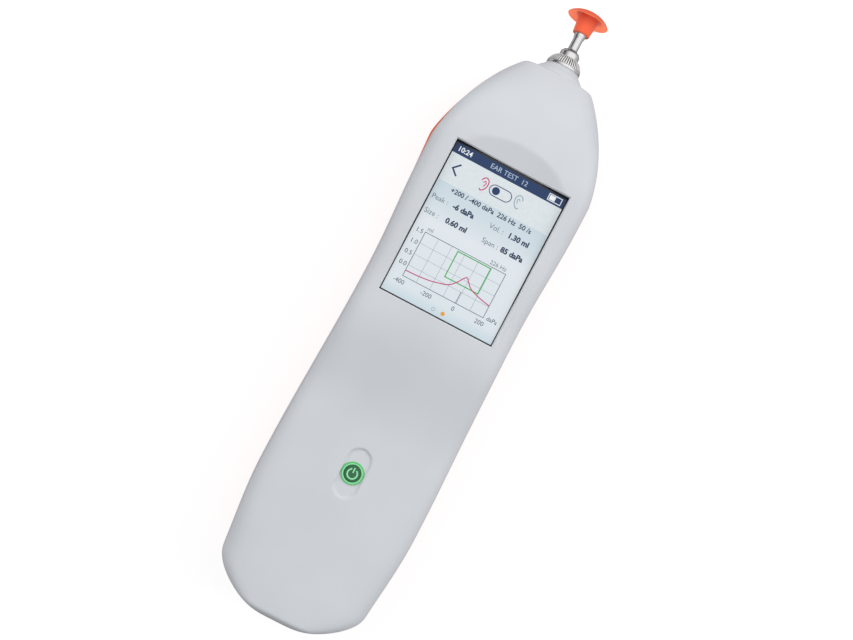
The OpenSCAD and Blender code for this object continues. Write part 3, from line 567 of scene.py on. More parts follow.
def joined(name, pieces):
    """One object with the meshes of several."""
    shape = bmesh.new()
    for piece in pieces:
        shape.from_mesh(piece.data)
        bpy.data.objects.remove(piece)
    return piece_of(name, shape)


door_t = door_high.z - door_low.z
door_end = door_high.y - tongue_l - door_gap
panel = bevelled_block("door_panel", door_low, (door_high.x, door_end, door_low.z + door_t), 0.25 * mm)
door_screw_low, door_screw_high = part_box("door_screw")
door_screw_y = door_screw_low.y / 2 + door_screw_high.y / 2
groove_r, groove_half, groove_out, groove_taper = 0.75 * mm, 7.0 * mm, 0.35 * mm, 0.4 * mm
groove_first, groove_step = 32, 2.2
groove_ends = -groove_half + groove_taper, groove_half - groove_taper
grooves = []
for k in range(5):
    groove = turned("groove", [
        (0.0, -groove_half), (groove_r * 0.7, -groove_half), (groove_r, groove_ends[0]),
        (groove_r, groove_ends[1]), (groove_r * 0.7, groove_half), (0.0, groove_half)
    ], 32, along_y=False)
    groove_y = foot_y + (groove_first + groove_step * k) * mm
    groove.data.transform(Matrix.Rotation(math.pi / 2, 4, "Y"))
    groove.data.transform(Matrix.Translation((0, groove_y, -groove_out)))
    grooves.append(groove)
sink_r, sink_t, screw_r = 2.4 * mm, 1.2 * mm, 1.3 * mm
sink = turned("sink", [
    (0.0, -mm), (sink_r + 0.2 * mm, -mm), (sink_r + 0.2 * mm, -0.1 * mm), (sink_r, 0.0), (screw_r, sink_t),
    (screw_r, door_t + mm), (0.0, door_t + mm)
], 64, along_y=False, centre=(0, door_screw_y, 0))
cut_by(panel, *grooves, sink)
tongue_x, tongue_half = 10 * mm, 3 * mm
tongues = [
    bevelled_block("tongue", (x - tongue_half, door_end - 0.3 * mm, door_low.z + door_t / 2),
                   (x + tongue_half, door_high.y, door_low.z + door_t), 0.15 * mm)
    for x in (-tongue_x, tongue_x)
]
battery_door = smoothed(joined("battery_door_panel", [panel] + tongues), 32)
battery_door.data.materials.append(orange_plastic)
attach(battery_door, "root")
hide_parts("battery_door")


# Screws
# Six steel cap screws sit deep in the counterbores and pull the two covers together, and a countersunk one
# holds the battery door. All have a cross recess.
def brushed_metal(name, colour, rough, along, strength=0.12):
    """Metal with fine tool marks, drawn out where the noise is scaled less."""
    material, tree, shader = node_material(name)
    stretched = added(tree, "Mapping", {"Vector": own_place(tree), "Scale": along}).outputs["Vector"]
    marks = added(tree, "TexNoise", {"Vector": stretched, "Scale": 1.0, "Detail": 4.0}).outputs["Fac"]
    feed(tree, shader, {
        "Base Color": ramped(tree, marks, dimmed(colour, 0.93), colour),
        "Roughness": ranged(tree, marks, *rough),
        "Normal": bumped(tree, marks, strength, 0.01 * mm),
        "Metallic": 1.0
    })
    return material


screw_steel = brushed_metal("screw_steel", (0.62, 0.62, 0.63), (0.24, 0.36), (900.0, 900.0, 900.0))
head_r, head_round, screw_top = 2.4 * mm, 0.5 * mm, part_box("cover_screws")[1].z
cross_half, slit_half, cross_depth = 1.3 * mm, 0.3 * mm, 0.8 * mm


def crossed(piece, x, y, z):
    """Cuts a cross recess into a screw head whose face is at z and looks down."""
    return cut_by(piece, *[
        bevelled_block("bar", (x - half_x, y - half_y, z - mm),
                       (x + half_x, y + half_y, z + cross_depth), 0.06 * mm)
        for half_x, half_y in ((cross_half, slit_half), (slit_half, cross_half))
    ])


screws = []
for k, (x, y, start) in enumerate(screw_spots):
    profile = [(0.0, head_low), (head_r - head_round, head_low)]
    profile += [(head_r - head_round + head_round * math.sin(a), head_low + head_round * (1 - math.cos(a)))
                for a in (0.4, 0.8, 1.2, math.pi / 2)]
    profile += [(head_r, shelf_z), (screw_r, shelf_z), (screw_r, screw_top - mm), (0.7 * mm, screw_top),
                (0.0, screw_top)]
    screw = turned("cover_screw_%d" % (k + 1), profile, 48, along_y=False, centre=(x, y, 0))
    screws.append((crossed(screw, x, y, head_low), "cover_screws"))
door_screw = turned("door_screw_head", [
    (0.0, door_screw_low.z), (2.1 * mm, door_screw_low.z), (2.2 * mm, door_screw_low.z + 0.1 * mm),
    (screw_r, sink_t), (screw_r, door_screw_high.z - 0.6 * mm), (0.8 * mm, door_screw_high.z),
    (0.0, door_screw_high.z)
], 64, along_y=False, centre=(0, door_screw_y, 0))
screws.append((crossed(door_screw, 0.0, door_screw_y, door_screw_low.z), "door_screw"))
for screw, node in screws:
    smoothed(screw, 32).data.materials.append(screw_steel)
    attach(screw, "root")
    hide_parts(node)


# Charging contacts
# Two gold-plated pins in the foot end, turned, with a domed face that the springs of a cradle press on.
# A flange behind the wall of the covers keeps each of them in its hole.
gold = brushed_metal("gold_plate", (0.86, 0.62, 0.26), (0.18, 0.28), (900.0, 900.0, 900.0))
contact_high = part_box("charge_contacts")[1].y
pin_flange_r, pin_back, pin_dome = 1.6 * mm, 0.02, 0.25
for k, x in enumerate((-pin_x, pin_x)):
    profile = [(0.0, foot_y + pin_back * mm)]
    profile += [(pin_r * t, foot_y + (pin_back + pin_dome * t ** 4) * mm) for t in (0.3, 0.6, 0.8, 0.92, 1.0)]
    profile += [(pin_r, foot_y + wall), (pin_flange_r, foot_y + wall), (pin_flange_r, contact_high),
                (0.0, contact_high)]
    pin = smoothed(turned("charging_pin_%d" % (k + 1), profile, 48, centre=(x, 0, pin_z)), 40)
    pin.data.materials.append(gold)
    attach(pin, "root")
    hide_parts("charge_contacts")


# Touch glass
# A flat pane of toughened glass, black along its edge, set flush in the pocket. The lit image right behind it
# is laid on as thin plates of colour: a status bar, a header, a band of readings and the measured curve.
pane = bevelled_block("screen_pane", pane_low, pane_high, 0.12 * mm, segments=3)
smoothed(pane, 30)
black_glass, tree, shader = node_material("black_glass_edge")
feed(tree, shader, {
    "Base Color": ramped(tree, grainy(tree, 60.0), (0.010, 0.011, 0.013), (0.016, 0.017, 0.019)),
    "Roughness": ranged(tree, grainy(tree, 30.0), 0.05, 0.09)
})
pane.data.materials.append(black_glass)
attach(pane, "root")
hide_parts("touch_glass")

screen_y = (pane_low.y + pane_high.y) / 2
screen_w, screen_h, screen_shift = 43.4, 57.4, -0.2
layer_t = 0.015 * mm
screen_glow = 0.42
capital_share = 0.73


def behind_glass(tree, shader, painted, glowing):
    """Feeds the shader of a part of the lit image, half painted and half glowing under the glass's gloss."""
    feed(tree, shader, {
        "Base Color": painted, "Emission Color": glowing, "Emission Strength": screen_glow,
        "Roughness": ranged(tree, grainy(tree, 30.0), 0.16, 0.20), "Specular IOR Level": 0.35
    })


def lit(name, colour):
    """Material of a part of the lit image that has one colour."""
    material, tree, shader = node_material(name)
    shades = grainy(tree, 900.0, 1.0)
    behind_glass(tree, shader, ramped(tree, shades, dimmed(colour, 0.57), dimmed(colour, 0.61)),
                 ramped(tree, shades, dimmed(colour, 0.98), colour))
    return material


def lit_fading(name, rows):
    """Material of a part that fades along the screen, through three rows of (mm from its middle, colour)."""
    material, tree, shader = node_material(name)
    along = added(tree, "SeparateXYZ", {0: own_place(tree)}).outputs["Y"]
    start, middle, end = [row[0] for row in rows]
    span = ranged(tree, along, 0.0, 1.0, screen_y + start * mm, screen_y + end * mm)
    faded = []
    for share in (0.59, 0.99):
        ramp = added(tree, "ValToRGB", {"Fac": span})
        between = ramp.color_ramp.elements.new((middle - start) / (end - start))
        stops = ramp.color_ramp.elements[0], between, ramp.color_ramp.elements[-1]
        for stop, (_, colour) in zip(stops, rows):
            stop.color = (*dimmed(colour, share), 1)
        faded.append(ramp.outputs["Color"])
    behind_glass(tree, shader, *faded)
    return material


def strip_box(x0, y0, x1, y1):
    """Rectangle of the image, in mm from the middle of the screen."""
    return [((x0, y0), (x1, y0)), ((x0, y1), (x1, y1))], False


def stroke(points, width, closed=False):
    """Line of the image along points, in mm from the middle of the screen."""
    pairs = []
    count = len(points)
    for k, point in enumerate(points):
        before = points[(k - 1) % count] if closed or k else point
        after = points[(k + 1) % count] if closed or k < count - 1 else point
        into = Vector(point) - Vector(before)
        out = Vector(after) - Vector(point)
        into = into.normalized() if into.length else out.normalized()
        out = out.normalized() if out.length else into
        along = (into + out).normalized()
        side = Vector((-along.y, along.x)) * width / 2 / max(0.5, along.dot(into))
        pairs.append((tuple(Vector(point) + side), tuple(Vector(point) - side)))
    return pairs, closed


def disc(x, y, r, steps=28):
    """Filled circle of the image."""
    angles = [math.pi * (k + 0.5) / steps for k in range(steps)]
    return [((x + r * math.cos(a), y + r * math.sin(a)), (x + r * math.cos(a), y - r * math.sin(a)))
            for a in angles], False


def arc(x, y, rx, ry, start, end, steps=24):
    """Points along part of an ellipse, angles in degrees."""
    return [(x + rx * math.cos(math.radians(start + (end - start) * k / steps)),
             y + ry * math.sin(math.radians(start + (end - start) * k / steps))) for k in range(steps + 1)]


def inked(name, shapes, level, material, base=glass_top, centre=(0, screen_y)):
    """Closed thin plates, one for each (pairs, closed) shape, level layers above the base."""
    low, high = base + layer_t * (level - 1) + layer_t * 0.5, base + layer_t * level + layer_t * 0.5
    points, faces = [], []
    for pairs, closed in shapes:
        first = len(points)
        for left, right in pairs:
            for x, y in (left, right):
                for z in (low, high):
                    points.append((centre[0] + x * mm, centre[1] + y * mm, z))
        count = len(pairs)
        for k in range(count if closed else count - 1):
            a, b = first + 4 * k, first + 4 * ((k + 1) % count)
            faces += [(a + 1, a + 3, b + 3, b + 1), (a, b, b + 2, a + 2), (a, a + 1, b + 1, b),
                      (a + 2, b + 2, b + 3, a + 3)]
        if not closed:
            a, b = first, first + 4 * (count - 1)
            faces += [(a, a + 2, a + 3, a + 1), (b, b + 1, b + 3, b + 2)]
    piece = facing_out(mesh_piece(name, points, faces))
    piece.data.materials.append(material)
    return piece


def lettered(name, words, level, material):
    """Closed thin letters: words are (text, x, y, height of a capital, alignment, boldness) in mm."""
    shape = bmesh.new()
    for text, x, y, tall, align, bold in words:
        curve = bpy.data.curves.new("letters", "FONT")
        curve.body = text
        curve.size = tall / capital_share * mm
        curve.align_x = align
        curve.align_y = "CENTER"
        curve.offset = bold * mm
        curve.extrude = layer_t / 2
        curve.resolution_u = 3
        holder = placed("letters", curve)
        bpy.context.view_layer.update()
        mesh = bpy.data.meshes.new_from_object(holder.evaluated_get(bpy.context.evaluated_depsgraph_get()))
        mesh.transform(Matrix.Translation((x * mm, screen_y + y * mm, glass_top + layer_t * (level + 0.1))))
        shape.from_mesh(mesh)
        bpy.data.objects.remove(holder)
    bmesh.ops.remove_doubles(shape, verts=shape.verts, dist=1e-8)
    piece = piece_of(name, shape)
    piece.data.materials.append(material)
    return piece


left, right = -screen_w / 2, screen_w / 2
bottom, top = screen_shift - screen_h / 2, screen_shift + screen_h / 2
bar_y, header_y, readings_y = 24.8, 14.2, -0.2
plot = (-16.9, -21.7, 14.9, -4.6)
navy = lit("screen_navy", paint(36, 58, 96))
pale = lit("screen_pale", paint(214, 222, 226))
readings = lit_fading("screen_readings", [(readings_y, paint(220, 226, 231)), (6.0, paint(206, 217, 224)),
                                          (header_y, paint(196, 211, 219))])
paper = lit_fading("screen_paper", [(-28.9, paint(196, 212, 220)), (-24.5, paint(215, 224, 229)),
                                    (readings_y, paint(220, 226, 231))])
white_ink = lit("screen_white", paint(232, 238, 242))
title_ink = lit("screen_title", paint(172, 190, 212))
navy_ink = lit("screen_ink", paint(38, 54, 84))
grey_ink = lit("screen_grey", paint(104, 120, 134))
frame_ink = lit("screen_frame", paint(66, 82, 98))
grid_ink = lit("screen_grid", paint(150, 166, 174))
faint_ink = lit("screen_faint", paint(150, 166, 178))
crimson = lit("screen_crimson", paint(190, 48, 108))
green_ink = lit("screen_green", paint(44, 170, 76))
orange_ink = lit("screen_orange", paint(222, 156, 46))


def ear_mark(x, y, side):
    """Outline of an ear, opening to one side, with the fold inside it."""
    outer = [(-1.35 * math.cos(a), 0.8 + 1.75 * math.sin(a))
             for a in [math.radians(10 + 20 * k) for k in range(10)]]
    outer += [(1.3, -0.1), (0.9, -1.1), (0.35, -1.85), (-0.4, -2.3), (-1.0, -1.8)]
    fold = [(-0.55, 0.6), (0.0, 1.35), (0.55, 0.8), (0.3, -0.05), (0.0, -0.65)]
    return [stroke([(x + side * u, y + v) for u, v in outer], 0.38),
            stroke([(x + side * u, y + v) for u, v in fold], 0.3)]


switch_y, switch_r = 19.6, 1.95
pill = arc(-2.2, switch_y, switch_r, switch_r, 90, 270, 12)
pill += arc(2.3, switch_y, switch_r, switch_r, -90, 90, 12)
curve_points = [
    (-16.9, -19.6), (-12.0, -19.4), (-7.6, -18.9), (-4.2, -18.1), (-1.2, -17.1), (0.9, -15.1), (2.6, -12.6),
    (3.5, -11.9), (4.4, -12.8), (6.2, -14.6), (8.2, -15.5), (11.0, -16.3), (14.9, -17.1)
]


def smooth_line(points, steps=8):
    """Finer points along a curve through the points."""
    found = []
    for k in range(len(points) - 1):
        p0, p1 = Vector(points[max(0, k - 1)]), Vector(points[k])
        p2, p3 = Vector(points[k + 1]), Vector(points[min(len(points) - 1, k + 2)])
        for j in range(steps):
            t = j / steps
            found.append(tuple(0.5 * (2 * p1 + (p2 - p0) * t + (2 * p0 - 5 * p1 + 4 * p2 - p3) * t * t
                                      + (3 * p1 - p0 - 3 * p2 + p3) * t ** 3)))
    return found + [points[-1]]


grid_xs = [plot[0] + (plot[2] - plot[0]) * k / 6 for k in range(7)]
grid_ys = [plot[1] + (plot[3] - plot[1]) * k / 4 for k in range(5)]
plot_corners = [plot[:2], (plot[2], plot[1]), plot[2:], (plot[0], plot[3])]
zero_mark = [(3.9, plot[1]), (3.9, grid_ys[1])]
normal_corners = [(-3.7, -15.2), (9.3, -15.2), (9.3, -5.25), (-3.7, -5.25)]
battery_corners = [(15.5, 25.6), (20.4, 25.6), (20.4, 27.9), (15.5, 27.9)]
arrow = [(-16.6, 22.0), (-18.9, 19.7), (-16.6, 17.6)]
bar_text_y, page_y, upper_y, lower_y, scale_x, scale_y = 26.7, -27.1, 8.0, 2.4, -19.0, -23.9
page_ring = arc(-2.0, page_y, 0.62, 0.62, 0, 345)
image = [
    inked("image_status_bar", [strip_box(left, bar_y, right, top)], 1, navy),
    inked("image_header", [strip_box(left, header_y, right, bar_y)], 1, pale),
    inked("image_readings", [strip_box(left, readings_y, right, header_y)], 1, readings),
    inked("image_paper", [strip_box(left, bottom, right, readings_y)], 1, paper),
    inked("image_grid", [stroke([(x, plot[1]), (x, plot[3])], 0.14) for x in grid_xs[1:-1]]
          + [stroke([(plot[0], y), (plot[2], y)], 0.14) for y in grid_ys[1:-1]], 2, grid_ink),
    inked("image_plot_frame", [stroke(plot_corners, 0.2, True), stroke(zero_mark, 0.2)], 3, frame_ink),
    inked("image_normal_range", [stroke(normal_corners, 0.36, True)], 4, green_ink),
    inked("image_curve", [stroke(smooth_line(curve_points), 0.34)], 5, crimson),
    inked("image_left_ear", ear_mark(-6.5, 19.6, 1), 2, crimson),
    inked("image_right_ear", ear_mark(6.9, 19.7, -1) + [stroke(page_ring, 0.18, True)], 2, faint_ink),
    inked("image_switch", [stroke(pill, 0.3, True), disc(-1.75, switch_y, 1.4), stroke(arrow, 0.6)],
          2, navy),
    inked("image_battery", [stroke(battery_corners, 0.28, True), strip_box(15.9, 25.9, 18.1, 27.6)],
          2, white_ink),
    inked("image_page_mark", [disc(1.7, page_y, 0.75)], 2, orange_ink),
    lettered("image_white_letters", [("10:24", -20.4, bar_text_y, 1.85, "LEFT", 0.05)], 2, white_ink),
    lettered("image_title", [("EAR TEST  12", -0.2, bar_text_y, 1.85, "CENTER", 0.0)], 2, title_ink),
    lettered("image_navy_letters", [("+200 / -400 daPa  226 Hz  50 /s", 0.0, 12.6, 1.8, "CENTER", 0.05)] + [
        (text, x, y, 2.0, "LEFT", 0.11) for text, x, y in (
            ("-6 daPa", -12.6, upper_y), ("1.30 ml", 9.2, upper_y),
            ("0.60 ml", -12.6, lower_y), ("85 daPa", 9.2, lower_y))
    ], 2, navy_ink),
    lettered("image_grey_letters", [
        (text, x, y, 1.95, "LEFT", 0.0) for text, x, y in (
            ("Peak :", -20.9, upper_y), ("Vol. :", 1.8, upper_y),
            ("Size :", -20.9, lower_y), ("Span :", 1.8, lower_y))
    ] + [(text, x, -3.2, 1.6, "CENTER", 0.0) for text, x in (("226 Hz", 11.2), ("ml", -15.6))], 2, grey_ink),
    lettered("image_axis_numbers", [
        (text, x, y, 1.7, "CENTER", 0.0) for text, x, y in (
            ("1.5", scale_x, -5.0), ("1.0", scale_x, -9.2), ("0.5", scale_x, -13.4), ("0.0", scale_x, -17.6),
            ("-400", -17.3, scale_y), ("-200", -6.6, scale_y), ("0", 4.0, scale_y), ("200", 14.4, scale_y))
    ] + [("daPa", 18.1, -21.3, 1.6, "CENTER", 0.0)], 2, frame_ink)
]
for piece in image:
    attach(piece, "root")


# Light ring and power button
# A ring of clear green plastic, lit from below, sits in the hole of the cover. The dark green cap inside it
# is pushed down 0.6 mm onto the switch, and carries the power sign.
def clear_green(name, dark, light, glow):
    """Tinted plastic that glows a little."""
    material, tree, shader = node_material(name)
    tint = ramped(tree, grainy(tree, 500.0), dark, light)
    feed(tree, shader, {
        "Base Color": tint, "Emission Color": tint, "Emission Strength": glow,
        "Roughness": ranged(tree, grainy(tree, 300.0), 0.23, 0.33)
    })
    return material


ring_r, cap_r = 4.1 * mm, 3.1 * mm
ring_top = ring_high.z
cap_low, cap_top = (corner.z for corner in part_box("power_button"))
button_y = foot_y + button_s
ring_edge, ring_gap, ring_foot_r, ring_foot_z = 0.25 * mm, 0.1 * mm, 5.4 * mm, 28.9 * mm
ring_profile = [(cap_r + ring_gap, ring_low.z), (ring_foot_r, ring_low.z), (ring_foot_r, ring_foot_z),
                (ring_r, ring_foot_z), (ring_r, ring_top - ring_edge)]
ring_profile += [(ring_r - ring_edge * (1 - math.cos(a)), ring_top - ring_edge * (1 - math.sin(a)))
                 for a in (0.3, 0.6, 0.9, 1.2, math.pi / 2)]
ring_profile += [(cap_r + 0.22 * mm, ring_top), (cap_r + ring_gap, ring_top - 0.12 * mm)]
light_ring = smoothed(turned("button_light_ring", ring_profile, 128, False, (0, button_y, 0)), 40)
lit_green = clear_green("green_light_ring", paint(72, 172, 90), paint(90, 188, 106), 0.22)
light_ring.data.materials.append(lit_green)
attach(light_ring, "root")
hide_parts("light_ring")

cap_stem_r, cap_foot_r, cap_foot_low, cap_foot_top = 1.2 * mm, 3.8 * mm, 26.9 * mm, 27.7 * mm
cap_edge, cap_drop = 0.3 * mm, 0.35 * mm
cap_profile = [(0.0, cap_low), (cap_stem_r, cap_low), (cap_stem_r, cap_foot_low), (cap_foot_r, cap_foot_low),
               (cap_foot_r, cap_foot_top), (cap_r, cap_foot_top), (cap_r, cap_top - cap_drop)]
cap_profile += [(cap_r - cap_edge * (1 - math.cos(a)), cap_top - cap_drop + cap_edge * math.sin(a))
                for a in (0.3, 0.6, 0.9, 1.2, math.pi / 2)]
cap_profile += [(1.4 * mm, cap_top - 0.01 * mm), (0.0, cap_top)]
button_cap = smoothed(turned("power_button_cap", cap_profile, 128, False, (0, button_y, 0)), 40)
button_cap.data.materials.append(clear_green("green_button_cap", paint(36, 84, 54), paint(48, 98, 62), 0.10))
mint = clear_green("green_power_sign", paint(122, 200, 150), paint(138, 212, 162), 0.2)
power_shapes = [stroke(arc(0, -0.1, 1.8, 1.8, 118, 422, 40), 0.55), stroke([(0, 0.3), (0, 2.2)], 0.5)]
power_sign = inked("power_button_sign", power_shapes, 1, mint, cap_top - 0.02 * mm, (0, button_y))
rim_shapes = [stroke(arc(0, 0, 3.45, 3.45, 0, 354, 59), 0.4, True)]
ring_rim = inked("button_ring_rim", rim_shapes, 1, mint, ring_top, (0, button_y))
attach(ring_rim, "root")
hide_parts("light_ring")
for piece in (button_cap, power_sign):
    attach(piece, "button")
    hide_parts("power_button")


# Probe tip
# One polished steel turning: a spigot in the collar, a flange under the ring, a domed shoulder and the thin
# neck with a barbed end that the ear tip is pushed onto. Sound and air pass through its channel.
tip_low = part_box("ear_tip")[0].y
spigot_y, tip_high = (corner.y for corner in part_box("probe_tip"))
ring_box_low, ring_box_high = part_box("knurled_ring")
flange_y = nose_y + 7.3 * mm
shoulder_y = flange_y + 0.7 * mm
shoulder_top = shoulder_y + 3.6 * mm
channel_r, spigot_r, flange_r, shoulder_r, neck_r, barb = (r * mm for r in (0.8, 2.95, 4.4, 3.75, 1.85, 0.3))
shoulder_round, neck_round = 1.3 * mm, 1.2 * mm
barb_back, barb_slope, channel_edge = 2.2, 0.95, 0.15 * mm
quarter = [math.pi / 2 * k / 10 for k in range(11)]
tip_profile = [(channel_r, spigot_y), (spigot_r, spigot_y), (spigot_r, flange_y), (flange_r, flange_y),
               (flange_r, shoulder_y), (shoulder_r, shoulder_y)]
tip_profile += [(shoulder_r - shoulder_round * (1 - math.cos(a)),
                 shoulder_top - shoulder_round * (1 - math.sin(a))) for a in quarter]
tip_profile += [(neck_r + neck_round * (1 - math.sin(a)), shoulder_top + neck_round * (1 - math.cos(a)))
                for a in quarter]
tip_profile += [(neck_r + barb * (1 - math.cos(2 * a)) / 2, tip_low - (barb_back - barb_slope * a) * mm)
                for a in quarter]
tip_profile += [(neck_r + barb, tip_high - 0.7 * mm), (neck_r, tip_high),
                (channel_r + channel_edge, tip_high), (channel_r, tip_high - channel_edge)]
probe_tip = smoothed(turned("probe_tip_turning", tip_profile, 160, centre=(0, 0, axis_z)), 35)
turning_marks = (120.0, 9000.0, 120.0)
polished_steel = brushed_metal("polished_steel", (0.88, 0.87, 0.87), (0.20, 0.28), turning_marks, 0.10)
steel_shader = polished_steel.node_tree.nodes["Principled BSDF"]
steel_shader.inputs["Specular Tint"].default_value = (0.25, 0.25, 0.26, 1)
probe_tip.data.materials.append(polished_steel)
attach(probe_tip, "probe_head")
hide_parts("probe_tip")


# Knurled ring
# A polished metal nut that clamps the probe tip to the collar. Straight ribs run over its dome for the
# fingers, and a smooth band is left at its foot.
ribs = 46
rib_h = 0.3 * mm
band_y = ring_box_low.y + 1.2 * mm
nut_r = ring_box_high.x
dome_r = shoulder_r + rib_h
thread_r = 4.75 * mm
nut_profile = [
    (thread_r, ring_box_low.y, 0.0), (nut_r - 0.2 * mm, ring_box_low.y, 0.0),
    (nut_r - 0.05 * mm, ring_box_low.y + 0.06 * mm, 0.0), (nut_r, ring_box_low.y + 0.2 * mm, 0.0),
    (nut_r, band_y - 0.15 * mm, 0.0), (nut_r - 0.06 * mm, band_y - 0.05 * mm, 0.0),
    (nut_r - 0.10 * mm, band_y, 0.2)
]
dome_steps = 22
for k in range(1, dome_steps + 1):
    t = math.sin(math.pi / 2 * k / dome_steps)
    fade = min(1.0, 6.0 * (k / dome_steps)) * min(1.0, 5.0 * (1.02 - k / dome_steps))
    nut_profile.append((dome_r + (nut_r - dome_r) * max(0.0, 1 - t ** 1.6) ** 0.625,
                        band_y + (ring_box_high.y - band_y) * t, fade))
well_r, well_y = shoulder_r + 0.05 * mm, shoulder_y + 0.1 * mm
nut_profile += [
    (well_r, ring_box_high.y - 0.02 * mm, 0.0), (well_r, well_y, 0.0), (thread_r, well_y, 0.0)
]
rib_steps = 10
around_steps = ribs * rib_steps
points = []
for k in range(around_steps):
    angle = 2 * math.pi * k / around_steps
    dip = rib_h * (1 - (0.5 + 0.5 * math.cos(angle * ribs)) ** 0.7)
    for r, y, share in nut_profile:
        points.append(((r - dip * share) * math.cos(angle), y, axis_z - (r - dip * share) * math.sin(angle)))
knurled_ring = mesh_piece("knurled_ring_nut", points, swept_faces(around_steps, len(nut_profile)))
facing_out(knurled_ring)
# The colour of the ribbed dome carries painted light and shade, set by the angle round the axis: a dark painted
# shade in the grooves between the ribs and a pale painted highlight on their crests.
steel_painted_rib_shading, tree, shader = node_material("steel_painted_rib_shading")
centred = added(tree, "Mapping", {"Vector": own_place(tree), "Location": (0, 0, -axis_z)})
split = added(tree, "SeparateXYZ", {0: centred.outputs["Vector"]}).outputs
around = added(tree, "Math", {0: split["Z"], 1: split["X"]}, "ARCTAN2").outputs[0]
turns = added(tree, "Math", {0: around, 1: ribs}, "MULTIPLY").outputs[0]
wave = added(tree, "Math", {0: turns}, "COSINE").outputs[0]
rib_highlight_and_groove_shade = ranged(tree, wave, 0.0, 1.0, -0.5, 0.1)
feed(tree, shader, {
    "Base Color": ramped(tree, rib_highlight_and_groove_shade, (0.06, 0.058, 0.06), (0.95, 0.94, 0.93), 0.0, 1.0),
    "Roughness": ranged(tree, grainy(tree, 900.0), 0.20, 0.28), "Metallic": 0.45
})
smoothed(knurled_ring, 50).data.materials.append(steel_painted_rib_shading)
knurled_ring.data.materials.append(polished_steel)
for face in knurled_ring.data.polygons:
    face.material_index = int(face.center.y < band_y)
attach(knurled_ring, "ring")
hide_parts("knurled_ring")


# Ear tip
# A soft umbrella of clear orange silicone, moulded in one piece. Its stem is stretched over the barbed neck,
# and the thin flange seals the ear canal.
rim_y = tip_low + 5.7 * mm
crown_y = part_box("ear_tip")[1].y
rim_r, mouth_r, tip_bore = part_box("ear_tip")[1].x, 1.1 * mm, 2.2 * mm
stem_r, stem_top_r, rim_t, crown_h = 3.25 * mm, 4.1 * mm, 0.2 * mm, 2.8 * mm
hollow_r, hollow_h = rim_r - 0.5 * mm, crown_h + rim_t - 1.1 * mm
stem_edge, stem_foot, dome_swell, dome_round = 0.1 * mm, 0.35 * mm, 2.2, 0.85
soft_profile = [
    (tip_bore, tip_low + stem_edge), (tip_bore + 0.12 * mm, tip_low), (stem_r - stem_foot, tip_low),
    (stem_r - 0.08 * mm, tip_low + stem_edge), (stem_r, tip_low + stem_foot)
]
for k in range(1, 15):
    t = k / 14
    soft_profile.append((stem_r + (stem_top_r - stem_r) * t ** 1.1,
                         tip_low + stem_foot + (rim_y + hollow_h - tip_low - 0.7 * mm) * t))
for k in range(16, -1, -1):
    a = math.pi / 2 * k / 18
    r = hollow_r - (hollow_r - stem_top_r) * (1 - math.cos(a))
    inwards = (r - mouth_r) / (hollow_r - mouth_r)
    soft_profile.append((r, rim_y + hollow_h * (1 - inwards ** dome_swell) ** dome_round))
soft_profile += [(rim_r - 0.12 * mm, rim_y), (rim_r - 0.03 * mm, rim_y + 0.07 * mm)]
for k in range(0, 25):
    a = math.pi / 2 * k / 24
    soft_profile.append((rim_r - (rim_r - mouth_r) * (1 - math.cos(a)),
                         rim_y + rim_t + crown_h * (1 - math.cos(a) ** dome_swell) ** dome_round))
lip_r, seat_y = mouth_r - 0.1 * mm, tip_high + 0.3 * mm
soft_profile += [(lip_r, crown_y - 0.15 * mm), (lip_r, seat_y), (tip_bore, seat_y)]
ear_tip = smoothed(turned("ear_tip_umbrella", soft_profile, 160, centre=(0, 0, axis_z)), 45)
silicone, tree, shader = node_material("orange_silicone")
clouds = grainy(tree, 120.0, 2.0)
feed(tree, shader, {
    "Base Color": ramped(tree, clouds, paint(255, 106, 68), paint(255, 114, 76)),
    "Subsurface Weight": 0.5, "Subsurface Radius": (1.0, 0.42, 0.2), "Subsurface Scale": 2.4 * mm,
    "Roughness": ranged(tree, grainy(tree, 500.0), 0.30, 0.40),
    "Normal": bumped(tree, grainy(tree, 1500.0, 2.0), 0.15, 0.01 * mm)
})
shining = ramped(tree, clouds, paint(255, 186, 160), paint(255, 194, 168))
through = added(tree, "BsdfTranslucent", {"Color": shining})
across = added(tree, "Mapping", {
    "Vector": own_place(tree), "Location": (0, 0, -axis_z), "Scale": (1, 0, 1)
})
reach = added(tree, "VectorMath", {0: across.outputs["Vector"]}, "LENGTH").outputs["Value"]
thinness = ranged(tree, reach, 0.05, 0.80, 4.0 * mm, 5.5 * mm)
blend = added(tree, "MixShader", {"Fac": thinness, 1: shader.outputs[0], 2: through.outputs[0]})
feed(tree, tree.nodes["Material Output"], {"Surface": blend.outputs[0]})
ear_tip.data.materials.append(silicone)
ear_tip.visible_glossy = False
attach(ear_tip, "soft_tip")
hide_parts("ear_tip")


# Display stack
# Under the glass lie a foam gasket, the display panel and the black moulded carrier that holds it. An amber
# ribbon cable runs from the panel to the main board.
def dress(material, *nodes):
    """Gives CAD nodes that stay as they are this material."""
    for node in nodes:
        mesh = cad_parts[node].data
        mesh.materials.clear()
        mesh.materials.append(material)


dress(moulded_plastic("black_foam", (0.03, 0.03, 0.03), 0.3, (0.8, 0.95), 3000.0, 0.05), "display_gasket")
dress(moulded_plastic("display_backing", (0.42, 0.48, 0.52), 0.05, (0.15, 0.25)), "display_panel")
black_plastic = moulded_plastic("black_plastic", (0.028, 0.028, 0.030), 0.2, (0.4, 0.5))
dress(black_plastic, "display_carrier", "probe_block")
dress(moulded_plastic("amber_film", (0.50, 0.24, 0.04), 0.15, (0.2, 0.3)), "display_flex")


